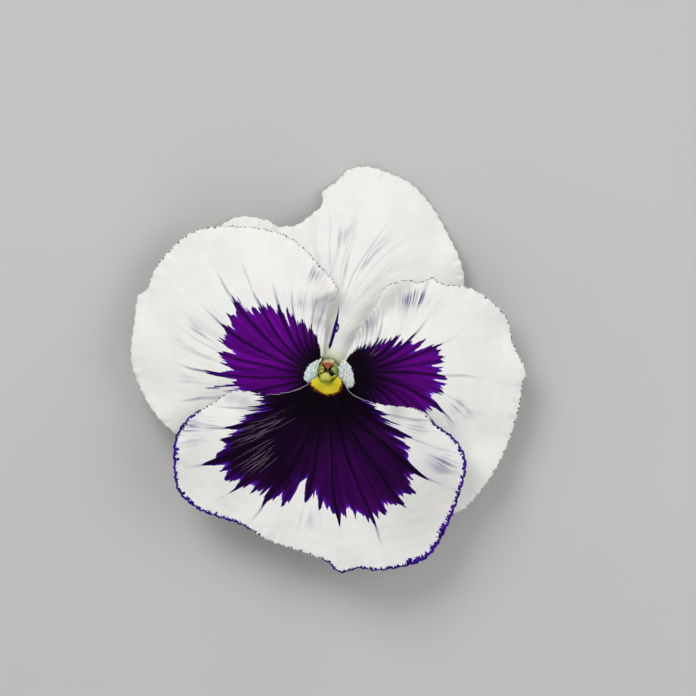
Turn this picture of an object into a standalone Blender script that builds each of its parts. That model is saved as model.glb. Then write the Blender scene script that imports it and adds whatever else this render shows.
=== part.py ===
"""A picked garden pansy, laid face up on a table: five petals, five sepals, stamens, pistil and stalk.

The face looks up (+Z) and its two upper petals point along +Y. The stalk hooks down behind the face and
lies along -Y. The origin is on the table straight below the eye, on the flat underside of the stalk.
Dimensions are in millimetres and turn into Blender's metres where a mesh is made.
"""

import math

import bpy
import numpy as np
from mathutils import Vector
from mathutils.geometry import delaunay_2d_cdt

MM = 0.001

# Driving dimensions
PETAL_THICKNESS = 0.66
SEPAL_THICKNESS = 0.66
SEAT_GAP = 0.3
CENTRE = np.array([0.2, 1.2])  # axis of the receptacle, seen from above
RECEPTACLE_TOP = 8.1
RECEPTACLE_RADIUS = 3.2
CLAW_FOOT = RECEPTACLE_TOP + SEAT_GAP
STALK_RADIUS = 1.1
STALK_SIDES = 8
STIGMA_CENTRE = (-0.3, 0.05, 14.1)
STIGMA_RADIUS = 1.1

# Mesh spacing of the petals: along the rim, inside the blade, and on the claw
RIM_STEP = 1.7
BLADE_STEP = 2.3
CLAW_STEP = 0.8
RIM_CLEARANCE = 0.55  # no point of the blade or claw nearer to the rim than this share of its own step

# Each petal: its outline seen from above, the angles that its claw spans round the receptacle and the
# radius of the ring it stands on, the level at which the blade leaves the throat, the radius of that bend,
# how the blade falls away with distance (slope and curve), the flutters of its rim (height, waves per
# radian, phase), and soft swells and hollows (x, y, radius, height).
PETALS = {
    "petal_upper_left": {
        "outline": [
            (-0.2, 5.4), (1.6, 10.0), (2.4, 17.1), (0.4, 24.2), (-4.1, 28.6), (-9.8, 29.9),
            (-11.7, 31.1), (-17.0, 32.0), (-21.0, 30.3), (-25.6, 26.7), (-30.2, 20.8),
            (-31.7, 14.2), (-29.0, 8.0), (-20.2, 4.6), (-11.1, 3.8), (-4.4, 3.4),
        ],
        "claw": (104, 148), "ring": 2.9, "level": 10.0, "bend": 1.2, "slope": 0.18, "curve": 0.0025,
        "flutters": [(0.6, 9.0, 0.4), (0.35, 17.0, 1.0)],
        "swells": [(-14, 16, 9, 0.4), (-24, 24, 6, -0.6)],
    },
    "petal_upper_right": {
        "outline": [
            (4.6, 4.0), (10.0, 5.5), (17.1, 8.5), (23.2, 12.9), (26.9, 18.1), (26.5, 22.5),
            (24.2, 27.9), (21.1, 33.6), (16.7, 38.5), (12.7, 40.5), (8.7, 41.8), (5.7, 41.8),
            (3.7, 41.0), (1.7, 38.9), (-0.9, 36.9), (-1.0, 34.4), (-3.0, 32.4), (-6.1, 30.1),
            (-9.6, 29.6), (-12.4, 26.8), (-12.8, 21.2), (-9.7, 14.1), (-5.0, 9.0), (-1.4, 5.8),
        ],
        "claw": (32, 76), "ring": 2.9, "level": 11.5, "bend": 1.2, "slope": 0.08, "curve": 0.0040,
        "flutters": [(0.7, 10.0, 1.2), (0.4, 19.0, 0.0)],
        "swells": [(14, 26, 9, 0.7), (6, 38, 4, -0.8), (-4, 24, 6, 0.3)],
    },
    "petal_left": {
        "outline": [
            (-1.3, 5.6), (-0.5, 8.2), (-0.2, 11.0), (0.6, 14.5), (2.2, 17.2), (-0.7, 21.2),
            (-5.9, 26.6), (-11.7, 29.1), (-20.9, 29.8), (-27.0, 28.5), (-31.1, 25.1),
            (-34.0, 21.4), (-35.5, 17.5), (-37.4, 15.9), (-38.0, 10.7), (-38.6, 5.5),
            (-38.1, 1.1), (-34.9, -5.6), (-30.1, -10.7), (-24.1, -13.1), (-16.0, -11.5),
            (-9.0, -7.0), (-4.8, -2.2),
        ],
        "claw": (158, 196), "ring": 2.9, "level": 13.1, "bend": 1.5, "slope": 0.03, "curve": 0.0045,
        "flutters": [(0.7, 9.0, 0.0), (0.4, 17.0, 0.7)],
        "swells": [(2, 18, 4, 1.0), (-3, 14, 4, -0.4), (-20, 17, 10, 0.7), (-33, 3, 8, -0.6)],
    },
    "petal_right": {
        "outline": [
            (5.2, -2.8), (9.0, -8.0), (14.0, -16.1), (19.6, -24.2), (25.7, -26.5), (30.9, -21.4),
            (35.2, -14.1), (37.7, -6.5), (38.5, -1.1), (39.2, 1.1), (37.5, 4.9), (36.5, 7.2),
            (35.8, 11.0), (33.2, 14.3), (28.3, 17.6), (22.7, 18.4), (20.7, 19.7), (18.1, 18.7),
            (15.6, 19.2), (11.4, 17.8), (9.6, 14.0), (7.2, 10.8), (5.4, 7.4), (4.0, 5.0),
        ],
        "claw": (-16, 22), "ring": 2.9, "level": 13.1, "bend": 1.5, "slope": 0.03, "curve": 0.0045,
        "flutters": [(0.8, 12.0, 2.0), (0.4, 21.0, 0.5)],
        "swells": [(13, 17, 4, 0.8), (17, 13, 4, -0.6), (26, 2, 9, 0.6), (30, -14, 8, -0.5)],
    },
    "petal_lower": {
        "outline": [
            (-3.9, -1.3), (-5.5, -2.1), (-8.0, -2.8), (-11.6, -3.2), (-18.1, -2.4), (-22.4, -4.9),
            (-26.9, -7.6), (-29.5, -11.4), (-30.0, -16.0), (-29.3, -22.0), (-25.5, -25.6),
            (-21.0, -27.4), (-16.4, -28.9), (-11.0, -32.0), (-4.5, -34.2), (-0.3, -35.9),
            (2.5, -38.2), (6.4, -37.3), (10.0, -37.7), (17.3, -36.5), (20.8, -34.1),
            (23.8, -28.7), (25.9, -22.9), (27.2, -16.6), (25.2, -12.1), (21.4, -9.1),
            (17.7, -6.1), (10.9, -5.2), (6.7, -4.0), (4.7, -2.9), (3.8, -1.7),
        ],
        "claw": (224, 316), "ring": 2.5, "level": 13.0, "bend": 1.2, "slope": -0.03, "curve": 0.0030,
        "flutters": [(0.7, 9.0, 0.8), (0.4, 19.0, 1.6)],
        "swells": [(-20, -14, 8, 0.8), (16, -16, 8, 0.6), (-2, -24, 6, -0.5), (16, -30, 6, -0.6)],
    },
}
FLUTTER_START = 12.0  # the flutter grows from nothing to full over this length of blade
FLUTTER_REACH = 5.0  # and fades over this distance in from the rim
SWELL_START = 4.0  # the swells grow over this length of blade

# The two upper petals lie on the table: their far part is lowered until the lowest point of the rim touches
ON_TABLE = ("petal_upper_left", "petal_upper_right")
TABLE_START = 14.0  # distance from the receptacle's axis at which the lowering begins
TABLE_END = 34.0  # and at which it is complete

# The lower petal's middle is a groove, and its margins stand higher than the side petals that they cover
LIP_RISE = 1.5
GROOVE_HALF_ANGLE = 8.0  # degrees each way from the middle
LIP_HALF_ANGLE = 48.0
LIP_FADE = (16.0, 36.0)  # distance along the blade over which the margins come down again

# Each side petal has a low mound beside the eye that carries its beard
BEARDS = {"petal_left": (-3.9, 0.8), "petal_right": (4.4, 0.6)}
BEARD_HEIGHT = 0.45
BEARD_RADIUS = 1.5

# Sepals: direction round the receptacle in degrees, distance of the tip from its axis, and height of the tip
SEPALS = {
    "sepal_top": (90, 16.0, 5.4),
    "sepal_left": (160, 17.0, 4.6),
    "sepal_right": (20, 17.0, 6.0),
    "sepal_lower_left": (222, 16.0, 9.6),
    "sepal_lower_right": (318, 16.0, 9.6),
}
SEPAL_BACK = [(5.6, 4.6), (4.3, 5.7), (3.4, 7.1), (4.1, 7.75), (6.5, 7.9)]  # auricle, seat and start of blade
SEPAL_ARCH = 0.3  # how far the blade stands over a straight line to its tip
SEPAL_STEP = 1.1
SEPAL_SHARES = (0.0, 0.1, 0.2, 0.4, 0.55, 0.8, 1.0)  # shares of the whole length
SEPAL_HALF_WIDTHS = (1.2, 1.65, 1.5, 2.2, 2.5, 1.5, 0.25)  # half of the width there
SEPAL_CUPPING = 0.2  # rise of the sides over the middle, for each millimetre of half width
SEPAL_COLUMNS = 4

# Stalk: cut end first, along the table, then the hook up to the receptacle
STALK_LEVEL = STALK_RADIUS * math.cos(math.pi / STALK_SIDES)  # of its axis, where a flat side lies on the table
STALK_ON_TABLE = [(5.5, -33.5), (2.6, -27.0), (0.3, -19.0), (-0.5, -10.0), (-0.1, -3.0), (0.1, 1.6)]
STALK_HOOK = [(0.15, 2.6, STALK_LEVEL), (0.2, 4.1, 1.9), (0.2, 4.6, 3.4), (0.2, 3.7, 5.2), (0.2, 1.8, 6.5)]
STALK_STEP = 4.0
HOOK_STEP = 0.9
CUT_SLANT = 0.5  # length by which the cut end leans, for each millimetre of height
NECK = [(7.1, 1.8), (7.6, RECEPTACLE_RADIUS - 0.2), (RECEPTACLE_TOP, RECEPTACLE_RADIUS)]  # height, radius

# Bracteoles: y along the stalk, and the side that each grows on
BRACTEOLES = [(-12.5, 1), (-16.0, -1)]
BRACTEOLE_LENGTH = 3.4
BRACTEOLE_LEAN = (1.5, 0.75, 0.25)  # its direction: away from the stalk, toward the bloom, and up
BRACTEOLE_ARCH = 0.15  # how far its middle stands over a straight line
BRACTEOLE_RADII = [0.6, 0.55, 0.32]

# Spur of the lower petal: its axis from the throat back, and its radius along it
SPUR_AXIS = [
    (0.1, -2.1, 12.3), (0.1, -2.45, 10.9), (0.1, -3.3, 9.4), (0.1, -3.9, 7.8),
    (0.1, -4.2, 6.2), (0.1, -4.5, 4.8), (0.1, -4.7, 3.9),
]
SPUR_RADII = [1.0, 1.15, 1.3, 1.42, 1.4, 1.1, 0.45]
SPUR_BORE_AXIS = [
    (0.1, -0.4, 11.3), (0.1, -1.4, 11.2), (0.1, -2.4, 10.6), (0.1, -3.2, 9.4),
    (0.1, -3.8, 7.9), (0.1, -4.1, 6.4), (0.1, -4.35, 5.4),
]
SPUR_BORE_RADII = [0.55, 0.55, 0.6, 0.7, 0.75, 0.7, 0.3]
SPUR_SIDES = 12

# Pistil: height and radius of the ovary and style, and the angles up the round stigma
OVARY = [(CLAW_FOOT, 0.55), (8.9, 0.75), (9.6, 0.8), (10.3, 0.7), (10.9, 0.5), (11.5, 0.38), (12.6, 0.42)]
STIGMA_ANGLES = (32, 60, 90, 118, 146, 168)
PISTIL_SIDES = 12

# Stamens: five anthers, edge to edge, that make a tapering tube with five pointed tips
ANTHERS = 5
ANTHER_SHOULDER = 11.2  # height of the notches between the tips
ANTHER_TIP = 12.2
ANTHER_RADIUS = 1.75  # at the foot
ANTHER_TAPER = 0.35  # how much narrower the tube is at the tips
ANTHER_BULGE = 0.12  # of each anther's middle
ANTHER_WALL = 0.6
STAMEN_COLUMNS = 40
STAMEN_ROWS = 6

WHITE = (0.93, 0.93, 0.90, 1)
LEAF_GREEN = (0.20, 0.34, 0.09, 1)
STALK_GREEN = (0.28, 0.42, 0.13, 1)
STIGMA_YELLOW = (0.62, 0.66, 0.12, 1)
ANTHER_ORANGE = (0.72, 0.30, 0.06, 1)


def clear_scene():
    for old in list(bpy.data.objects):
        bpy.data.objects.remove(old)


def make_material(name, colour, roughness):
    material = bpy.data.materials.new(name)
    material.use_nodes = True
    shader = material.node_tree.nodes["Principled BSDF"]
    shader.inputs["Base Color"].default_value = colour
    shader.inputs["Roughness"].default_value = roughness
    shader.inputs["Metallic"].default_value = 0.0
    return material


def make_object(name, points, faces, material):
    """An object from points in millimetres, shaded smooth except across real edges."""
    mesh = bpy.data.meshes.new(name)
    mesh.from_pydata([Vector(p) * MM for p in points], [], [list(map(int, f)) for f in faces])
    mesh.validate()
    mesh.shade_smooth()
    mesh.set_sharp_from_angle(angle=math.radians(50))
    mesh.materials.append(material)
    made = bpy.data.objects.new(name, mesh)
    bpy.context.scene.collection.objects.link(made)
    return made


def smooth_line(points, step):
    """Points about one step apart on the Catmull-Rom curve through the given points."""
    points = np.array(points, float)
    ends = np.vstack([2 * points[0] - points[1], points, 2 * points[-1] - points[-2]])
    found = []
    for before, start, end, after in zip(ends, ends[1:], ends[2:], ends[3:]):
        count = max(1, round(float(np.linalg.norm(end - start)) / step))
        for t in np.arange(count) / count:
            found.append(
                0.5 * (2 * start + (end - before) * t
                       + (2 * before - 5 * start + 4 * end - after) * t**2
                       + (3 * start - before - 3 * end + after) * t**3)
            )
    return np.array([*found, points[-1]])


def smooth_step(value):
    value = np.clip(value, 0.0, 1.0)
    return value * value * (3 - 2 * value)


# Petals. A petal is drawn flat, as a fan round the receptacle's axis with its claw at the narrow end, and
# then lifted: the claw stands up from the receptacle, bends outward and runs on as the blade.


def claw_lengths(petal):
    """Length of the claw's upright part, and of its bend."""
    return petal["level"] - petal["bend"] - CLAW_FOOT, petal["bend"] * math.pi / 2


def blade_start(petal):
    """Distance from the drawing's middle at which the blade begins."""
    return petal["ring"] + sum(claw_lengths(petal))


def blade_distance(petal, radius):
    """How far along the blade a point at that distance from the receptacle's axis lies."""
    return np.maximum(radius - petal["ring"] - petal["bend"], 0.0)


def flatten(petal, plan):
    """Where points of the blade, seen from above, lie in the flat drawing."""
    upright = claw_lengths(petal)[0]
    offset = plan - CENTRE
    radius = np.linalg.norm(offset, axis=1)
    turn = np.arccos(np.clip(1 - (radius - petal["ring"]) / petal["bend"], 0.0, 1.0))
    drawn = petal["ring"] + upright + petal["bend"] * turn + blade_distance(petal, radius)
    return offset / radius[:, None] * drawn[:, None]


def lift(petal, flat):
    """The flat drawing bent into claw and blade: points in millimetres, with the blade still level."""
    upright, arc = claw_lengths(petal)
    bend = petal["bend"]
    radius = np.linalg.norm(flat, axis=1)
    along = radius - petal["ring"]
    turn = np.clip((along - upright) / bend, 0.0, math.pi / 2)
    beyond = np.maximum(along - upright - arc, 0.0)
    out = petal["ring"] + bend * (1 - np.cos(turn)) + beyond
    height = CLAW_FOOT + np.minimum(along, upright) + bend * np.sin(turn)
    plan = CENTRE + flat / radius[:, None] * out[:, None]
    return np.column_stack([plan, height])


def rim_distance(points, rim):
    """Distance of each point to the nearest point of the rim, seen from above."""
    return np.min(np.linalg.norm(points[:, None, :2] - rim[None, :, :2], axis=2), axis=1)


def flutter(petal, points, rim, angle, beyond):
    """Waves that run round the rim and die out toward the middle of the blade."""
    near_rim = np.exp(-((rim_distance(points, rim) / FLUTTER_REACH) ** 2))
    waves = sum(height * np.sin(count * angle + phase) for height, count, phase in petal["flutters"])
    return waves * near_rim * smooth_step(beyond / FLUTTER_START)


def mound(points, x, y, radius):
    """A round bump of height 1."""
    return np.exp(-(((points[:, 0] - x) ** 2 + (points[:, 1] - y) ** 2) / radius**2))


def lip(petal, points, angle, beyond):
    """How far the lower petal's margins stand over its middle groove."""
    off_middle = np.abs(np.degrees(angle) + 90)
    share = smooth_step((off_middle - GROOVE_HALF_ANGLE) / (LIP_HALF_ANGLE - GROOVE_HALF_ANGLE))
    above_claw = smooth_step(1 + (points[:, 2] - petal["level"]) / petal["bend"])
    fade = 1 - smooth_step((beyond - LIP_FADE[0]) / (LIP_FADE[1] - LIP_FADE[0]))
    return LIP_RISE * share * above_claw * fade


def relief(name, petal, points, rim):
    """Height added to the level blade: its fall, its flutter, its swells, and the lip or beard."""
    offset = points[:, :2] - CENTRE
    beyond = blade_distance(petal, np.linalg.norm(offset, axis=1))
    angle = np.arctan2(offset[:, 1], offset[:, 0])
    height = -petal["slope"] * beyond - petal["curve"] * beyond**2
    height += flutter(petal, points, rim, angle, beyond)
    for x, y, radius, rise in petal["swells"]:
        height += rise * mound(points, x, y, radius) * smooth_step(beyond / SWELL_START)
    if name == "petal_lower":
        height += lip(petal, points, angle, beyond)
    if name in BEARDS:
        height += BEARD_HEIGHT * mound(points, *BEARDS[name], BEARD_RADIUS)
    return height


def lay_on_table(points):
    """Lowers the far part of a petal until its lowest point is half a thickness over the table."""
    distance = np.linalg.norm(points[:, :2] - CENTRE, axis=1)
    drop = points[:, 2].min() - PETAL_THICKNESS / 2
    points[:, 2] -= drop * smooth_step((distance - TABLE_START) / (TABLE_END - TABLE_START))


def petal_outline(petal):
    """The closed outline in the flat drawing: claw foot, one margin, the rim, and the other margin."""
    blade = flatten(petal, smooth_line(petal["outline"], RIM_STEP))
    first, last = (math.radians(a) for a in petal["claw"])
    if blade[0][0] * blade[-1][1] < blade[0][1] * blade[-1][0]:
        first, last = last, first
    feet = np.linspace(last, first, 2 + round(abs(last - first) * petal["ring"] / (2 * CLAW_STEP)))[1:-1]
    foot = petal["ring"] * np.column_stack([np.cos(feet), np.sin(feet)])
    up = claw_margin(petal, first, blade[0])
    down = claw_margin(petal, last, blade[-1])
    return np.vstack([foot, up, blade, down[::-1]])


def claw_margin(petal, angle, blade_end):
    """One margin of the claw, straight up to its top and then round the throat to the blade's outline."""
    top = petal["ring"] + claw_lengths(petal)[0]
    straight = [(r, angle) for r in np.arange(petal["ring"], top, CLAW_STEP)]
    radius, turn = np.linalg.norm(blade_end), math.atan2(blade_end[1], blade_end[0])
    swing = (turn - angle + math.pi) % (2 * math.pi) - math.pi
    count = math.ceil(max(abs(swing) * petal["ring"], radius - top) / CLAW_STEP)
    round_throat = [(top + (radius - top) * k / count, angle + swing * k / count) for k in range(count)]
    return np.array([(r * math.cos(a), r * math.sin(a)) for r, a in straight + round_throat])


def claw_points(petal):
    """Points on arcs close together, for the claw and its bend in the flat drawing."""
    top = petal["ring"] + claw_lengths(petal)[0]
    first, last = (math.radians(a) for a in petal["claw"])
    found = []
    for radius in np.arange(petal["ring"] + CLAW_STEP, blade_start(petal) + 2 * CLAW_STEP, CLAW_STEP):
        half = math.pi if radius > top else (last - first) / 2
        count = max(1, round(2 * half * radius / (1.4 * CLAW_STEP)))
        for step in range(count):
            angle = (first + last) / 2 + half * (2 * (step + 0.5) / count - 1)
            found.append((radius * math.cos(angle), radius * math.sin(angle)))
    return np.array(found)


def blade_points(petal, outline):
    """Points of a triangular grid over the blade in the flat drawing."""
    low, high = outline.min(axis=0), outline.max(axis=0)
    row_height = BLADE_STEP * math.sqrt(3) / 2
    found = []
    for row, y in enumerate(np.arange(low[1], high[1], row_height)):
        for x in np.arange(low[0] + BLADE_STEP / 2 * (row % 2), high[0], BLADE_STEP):
            if math.hypot(x, y) > blade_start(petal) + 3 * CLAW_STEP:
                found.append((x, y))
    return np.array(found)


def within(points, outline, margin):
    """The points that lie inside the outline and further than the margin from it."""
    clear = np.min(np.linalg.norm(points[:, None] - outline[None], axis=2), axis=1) > margin
    return points[clear & inside(points, outline)]


def inside(points, outline):
    """Which points lie within the closed outline, by counting the edges that a ray crosses."""
    x, y = points[:, 0, None], points[:, 1, None]
    x0, y0 = outline[:, 0], outline[:, 1]
    x1, y1 = np.roll(x0, -1), np.roll(y0, -1)
    spans = (y0 > y) != (y1 > y)
    rise = np.where(y1 == y0, 1.0, y1 - y0)
    crosses = spans & (x < (x1 - x0) * (y - y0) / rise + x0)
    return crosses.sum(axis=1) % 2 == 1


def make_petal(name, petal, material):
    outline = petal_outline(petal)
    claw = within(claw_points(petal), outline, RIM_CLEARANCE * CLAW_STEP)
    blade = within(blade_points(petal, outline), outline, RIM_CLEARANCE * BLADE_STEP)
    drawing = [Vector(p) for p in np.vstack([outline, claw, blade])]
    flat, _, faces, *_ = delaunay_2d_cdt(drawing, [], [list(range(len(outline)))], 1, 1e-6)
    points = lift(petal, np.array([tuple(p) for p in flat]))
    points[:, 2] += relief(name, petal, points, lift(petal, outline))
    if name in ON_TABLE:
        lay_on_table(points)
    made = make_object(name, points, faces, material)
    thicken(made, PETAL_THICKNESS)
    return made


def thicken(made, thickness):
    shell = made.modifiers.new("Thickness", "SOLIDIFY")
    shell.thickness = thickness * MM
    shell.offset = 0.0


# Swept pieces: rings of one outline carried along a curve


def sweep(path, radii, sides, start_up=(0, 0, 1), slant=0.0):
    """Rings round a path, closed at both ends. The first ring's flat side faces away from start_up."""
    path = np.array(path, float)
    tangents = np.gradient(path, axis=0)
    tangents /= np.linalg.norm(tangents, axis=1)[:, None]
    up = np.array(start_up, float)
    points = []
    for place, tangent, radius in zip(path, tangents, radii):
        up = up - tangent * (up @ tangent)
        up /= np.linalg.norm(up)
        side = np.cross(tangent, up)
        for step in range(sides):
            turn = 2 * math.pi * (step + 0.5) / sides
            points.append(place + radius * (math.cos(turn) * up + math.sin(turn) * side))
    points = np.array(points)
    points[:sides] += tangents[0] * (points[:sides, 2] * slant)[:, None]
    faces = []
    for ring in range(len(path) - 1):
        for step in range(sides):
            a, b = ring * sides + step, ring * sides + (step + 1) % sides
            faces += [(a, b, b + sides), (a, b + sides, a + sides)]
    last = (len(path) - 1) * sides
    faces.append(tuple(reversed(range(sides))))
    faces.append(tuple(range(last, last + sides)))
    return points, faces


def union(target, tool):
    tool.hide_render = True
    tool.display_type = "WIRE"
    join = target.modifiers.new("Join " + tool.name, "BOOLEAN")
    join.operation = "UNION"
    join.solver = "EXACT"
    join.object = tool


def cut(target, tool):
    tool.hide_render = True
    tool.display_type = "WIRE"
    hole = target.modifiers.new("Cut " + tool.name, "BOOLEAN")
    hole.operation = "DIFFERENCE"
    hole.solver = "EXACT"
    hole.object = tool


def add_spur(lower_petal, material):
    """The nectar spur: a hollow horn behind the lower petal, open into the throat."""
    horn = make_object("spur_body", *sweep(SPUR_AXIS, SPUR_RADII, SPUR_SIDES, (0, 1, 0)), material)
    bore = make_object("spur_bore", *sweep(SPUR_BORE_AXIS, SPUR_BORE_RADII, SPUR_SIDES, (0, 1, 0)), material)
    union(lower_petal, horn)
    cut(lower_petal, bore)


def make_stalk(material):
    """Stalk, hook and receptacle in one, with the two small bracteoles that grow on it."""
    line = [(x, y, STALK_LEVEL) for x, y in smooth_line(STALK_ON_TABLE, STALK_STEP)]
    hook = smooth_line([line[-1], *STALK_HOOK], HOOK_STEP)[1:]
    stem = [*line, *hook]
    path = [*stem, *((*CENTRE, height) for height, _ in NECK)]
    radii = [STALK_RADIUS] * len(stem) + [radius for _, radius in NECK]
    stalk = make_object("stalk", *sweep(path, radii, STALK_SIDES, slant=CUT_SLANT), material)
    for number, (y, side) in enumerate(BRACTEOLES):
        x, y, _ = min(line, key=lambda place: abs(place[1] - y))
        root = Vector((x + side * STALK_RADIUS / 2, y, STALK_LEVEL))
        away, along, rise = BRACTEOLE_LEAN
        tip = root + Vector((side * away, along, rise)).normalized() * BRACTEOLE_LENGTH
        middle = root.lerp(tip, 0.45) + Vector((0, 0, BRACTEOLE_ARCH))
        blade = sweep([root, middle, tip], BRACTEOLE_RADII, 6)
        union(stalk, make_object(f"bracteole_{number + 1}", *blade, material))


def make_sepal(name, direction, tip_radius, tip_height, material):
    """A lance-shaped sepal that passes the receptacle: auricle behind it, blade in front."""
    bend_radius, bend_height = SEPAL_BACK[-1]
    half_way = ((bend_radius + tip_radius) / 2, (bend_height + tip_height) / 2 + SEPAL_ARCH)
    profile = smooth_line([*SEPAL_BACK, half_way, (tip_radius, tip_height)], SEPAL_STEP)
    reach = np.concatenate([[0], np.cumsum(np.linalg.norm(np.diff(profile, axis=0), axis=1))])
    half_widths = np.interp(reach / reach[-1], SEPAL_SHARES, SEPAL_HALF_WIDTHS)
    turn = math.radians(direction)
    outward = np.array([math.cos(turn), math.sin(turn)])
    across = np.array([-outward[1], outward[0]])
    points = []
    for (radius, height), half in zip(profile, half_widths):
        for side in np.linspace(-1, 1, SEPAL_COLUMNS + 1):
            plan = CENTRE + outward * radius + across * half * side
            points.append((*plan, height + SEPAL_CUPPING * half * side**2))
    sepal = make_object(name, points, grid_faces(len(profile), SEPAL_COLUMNS + 1), material)
    thicken(sepal, SEPAL_THICKNESS)


def grid_faces(rows, columns):
    """Triangles over rows of points."""
    faces = []
    for row in range(rows - 1):
        for column in range(columns - 1):
            a = row * columns + column
            faces += [(a, a + columns, a + columns + 1), (a, a + columns + 1, a + 1)]
    return faces


def column_axis(height):
    """The bent line on which the ovary, the stamens and the style stand."""
    share = (height - CLAW_FOOT) / (STIGMA_CENTRE[2] - CLAW_FOOT)
    return CENTRE + (np.array(STIGMA_CENTRE[:2]) - CENTRE) * share**4


def make_pistil(material):
    """Ovary, style and round stigma."""
    shape = list(OVARY)
    for angle in np.radians(STIGMA_ANGLES):
        shape.append((STIGMA_CENTRE[2] - STIGMA_RADIUS * math.cos(angle), STIGMA_RADIUS * math.sin(angle)))
    path = [(*column_axis(height), height) for height, _ in shape]
    make_object("pistil", *sweep(path, [radius for _, radius in shape], PISTIL_SIDES, (0, 1, 0)), material)


def anther_tube(inset):
    """Rows of points round the stamens, on the outer face or set in from it."""
    points = []
    for row in range(STAMEN_ROWS + 1):
        for column in range(STAMEN_COLUMNS):
            angle = 2 * math.pi * column / STAMEN_COLUMNS + math.pi / (2 * ANTHERS)
            lobe = abs(math.cos(ANTHERS * angle / 2))
            top = ANTHER_SHOULDER + (ANTHER_TIP - ANTHER_SHOULDER) * lobe
            height = CLAW_FOOT + (top - CLAW_FOOT) * row / STAMEN_ROWS
            share = (height - CLAW_FOOT) / (ANTHER_TIP - CLAW_FOOT)
            radius = ANTHER_RADIUS - ANTHER_TAPER * share**2 + ANTHER_BULGE * lobe - inset
            x, y = column_axis(height)
            points.append((x + radius * math.cos(angle), y + radius * math.sin(angle), height))
    return points


def make_stamens(material):
    """The anther tube: its outer face, its inner face, and the rims that join them."""
    points = anther_tube(0) + anther_tube(ANTHER_WALL)
    inner = (STAMEN_ROWS + 1) * STAMEN_COLUMNS
    faces = []
    for row in range(STAMEN_ROWS):
        for column in range(STAMEN_COLUMNS):
            a = row * STAMEN_COLUMNS + column
            b = row * STAMEN_COLUMNS + (column + 1) % STAMEN_COLUMNS
            above_a, above_b = a + STAMEN_COLUMNS, b + STAMEN_COLUMNS
            faces += [(a, b, above_b), (a, above_b, above_a)]
            faces += [(inner + a, inner + above_b, inner + b), (inner + a, inner + above_a, inner + above_b)]
    for column in range(STAMEN_COLUMNS):
        a, b = column, (column + 1) % STAMEN_COLUMNS
        faces += [(a, inner + a, inner + b), (a, inner + b, b)]
        a, b = a + inner - STAMEN_COLUMNS, b + inner - STAMEN_COLUMNS
        faces += [(a, b, inner + b), (a, inner + b, inner + a)]
    make_object("stamens", points, faces, material)


def main():
    clear_scene()
    petal_white = make_material("petal_white", WHITE, 0.6)
    sepal_green = make_material("sepal_green", LEAF_GREEN, 0.6)
    for name, petal in PETALS.items():
        made = make_petal(name, petal, petal_white)
        if name == "petal_lower":
            add_spur(made, petal_white)
    for name, shape in SEPALS.items():
        make_sepal(name, *shape, sepal_green)
    make_stalk(make_material("stalk_green", STALK_GREEN, 0.55))
    make_pistil(make_material("stigma_yellow", STIGMA_YELLOW, 0.45))
    make_stamens(make_material("anther_orange", ANTHER_ORANGE, 0.6))


main()
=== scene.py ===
"""Looks of the picked pansy: petals with their markings, eye, sepals, stalk, floor, light and camera.

Sizes are in millimetres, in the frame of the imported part: the face looks up (+Z), the two upper petals
point along +Y, and the origin is on the table below the eye. Petals, sepals and stalk follow the shapes of
the solids that they replace, with finer steps, thinner blades and more relief.
"""

import math
import random
from types import SimpleNamespace

import bpy
import numpy as np
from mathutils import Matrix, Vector
from mathutils.bvhtree import BVHTree
from mathutils.geometry import delaunay_2d_cdt


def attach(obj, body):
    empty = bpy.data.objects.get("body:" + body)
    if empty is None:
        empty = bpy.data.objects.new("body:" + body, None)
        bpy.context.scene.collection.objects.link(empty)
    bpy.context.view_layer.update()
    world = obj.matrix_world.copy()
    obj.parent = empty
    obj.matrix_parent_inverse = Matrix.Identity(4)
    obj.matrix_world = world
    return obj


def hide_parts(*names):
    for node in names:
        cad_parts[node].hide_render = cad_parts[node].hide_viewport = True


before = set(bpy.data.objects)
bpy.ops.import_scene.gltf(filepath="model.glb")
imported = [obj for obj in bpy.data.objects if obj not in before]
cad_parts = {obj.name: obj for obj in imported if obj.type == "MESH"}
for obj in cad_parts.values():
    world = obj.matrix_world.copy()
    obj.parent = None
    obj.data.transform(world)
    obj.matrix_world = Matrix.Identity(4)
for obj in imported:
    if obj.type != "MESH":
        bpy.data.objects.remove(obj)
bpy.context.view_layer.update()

MM = 0.001

# Driving dimensions shared with the solids
CENTRE = np.array([0.2, 1.2])  # axis of the receptacle, seen from above
CLAW_FOOT = 8.4
RECEPTACLE_TOP = 8.1
RECEPTACLE_RADIUS = 3.2
STIGMA_CENTRE = (-0.3, 0.05, 14.1)
STIGMA_RADIUS = 1.05

# Mesh spacing of the petals: along the rim, inside the blade, and on the claw
RIM_STEP = 0.34
BLADE_STEP = 0.36
CLAW_STEP = 0.25
RIM_CLEARANCE = 0.55
CHUNK = 4000  # points that are compared with a line at once

# Real thickness of the blades: inside, at the very rim, and the width over which it grows
PETAL_THICKNESS = 0.3
PETAL_EDGE = 0.12
EDGE_WIDTH = 0.9

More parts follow.
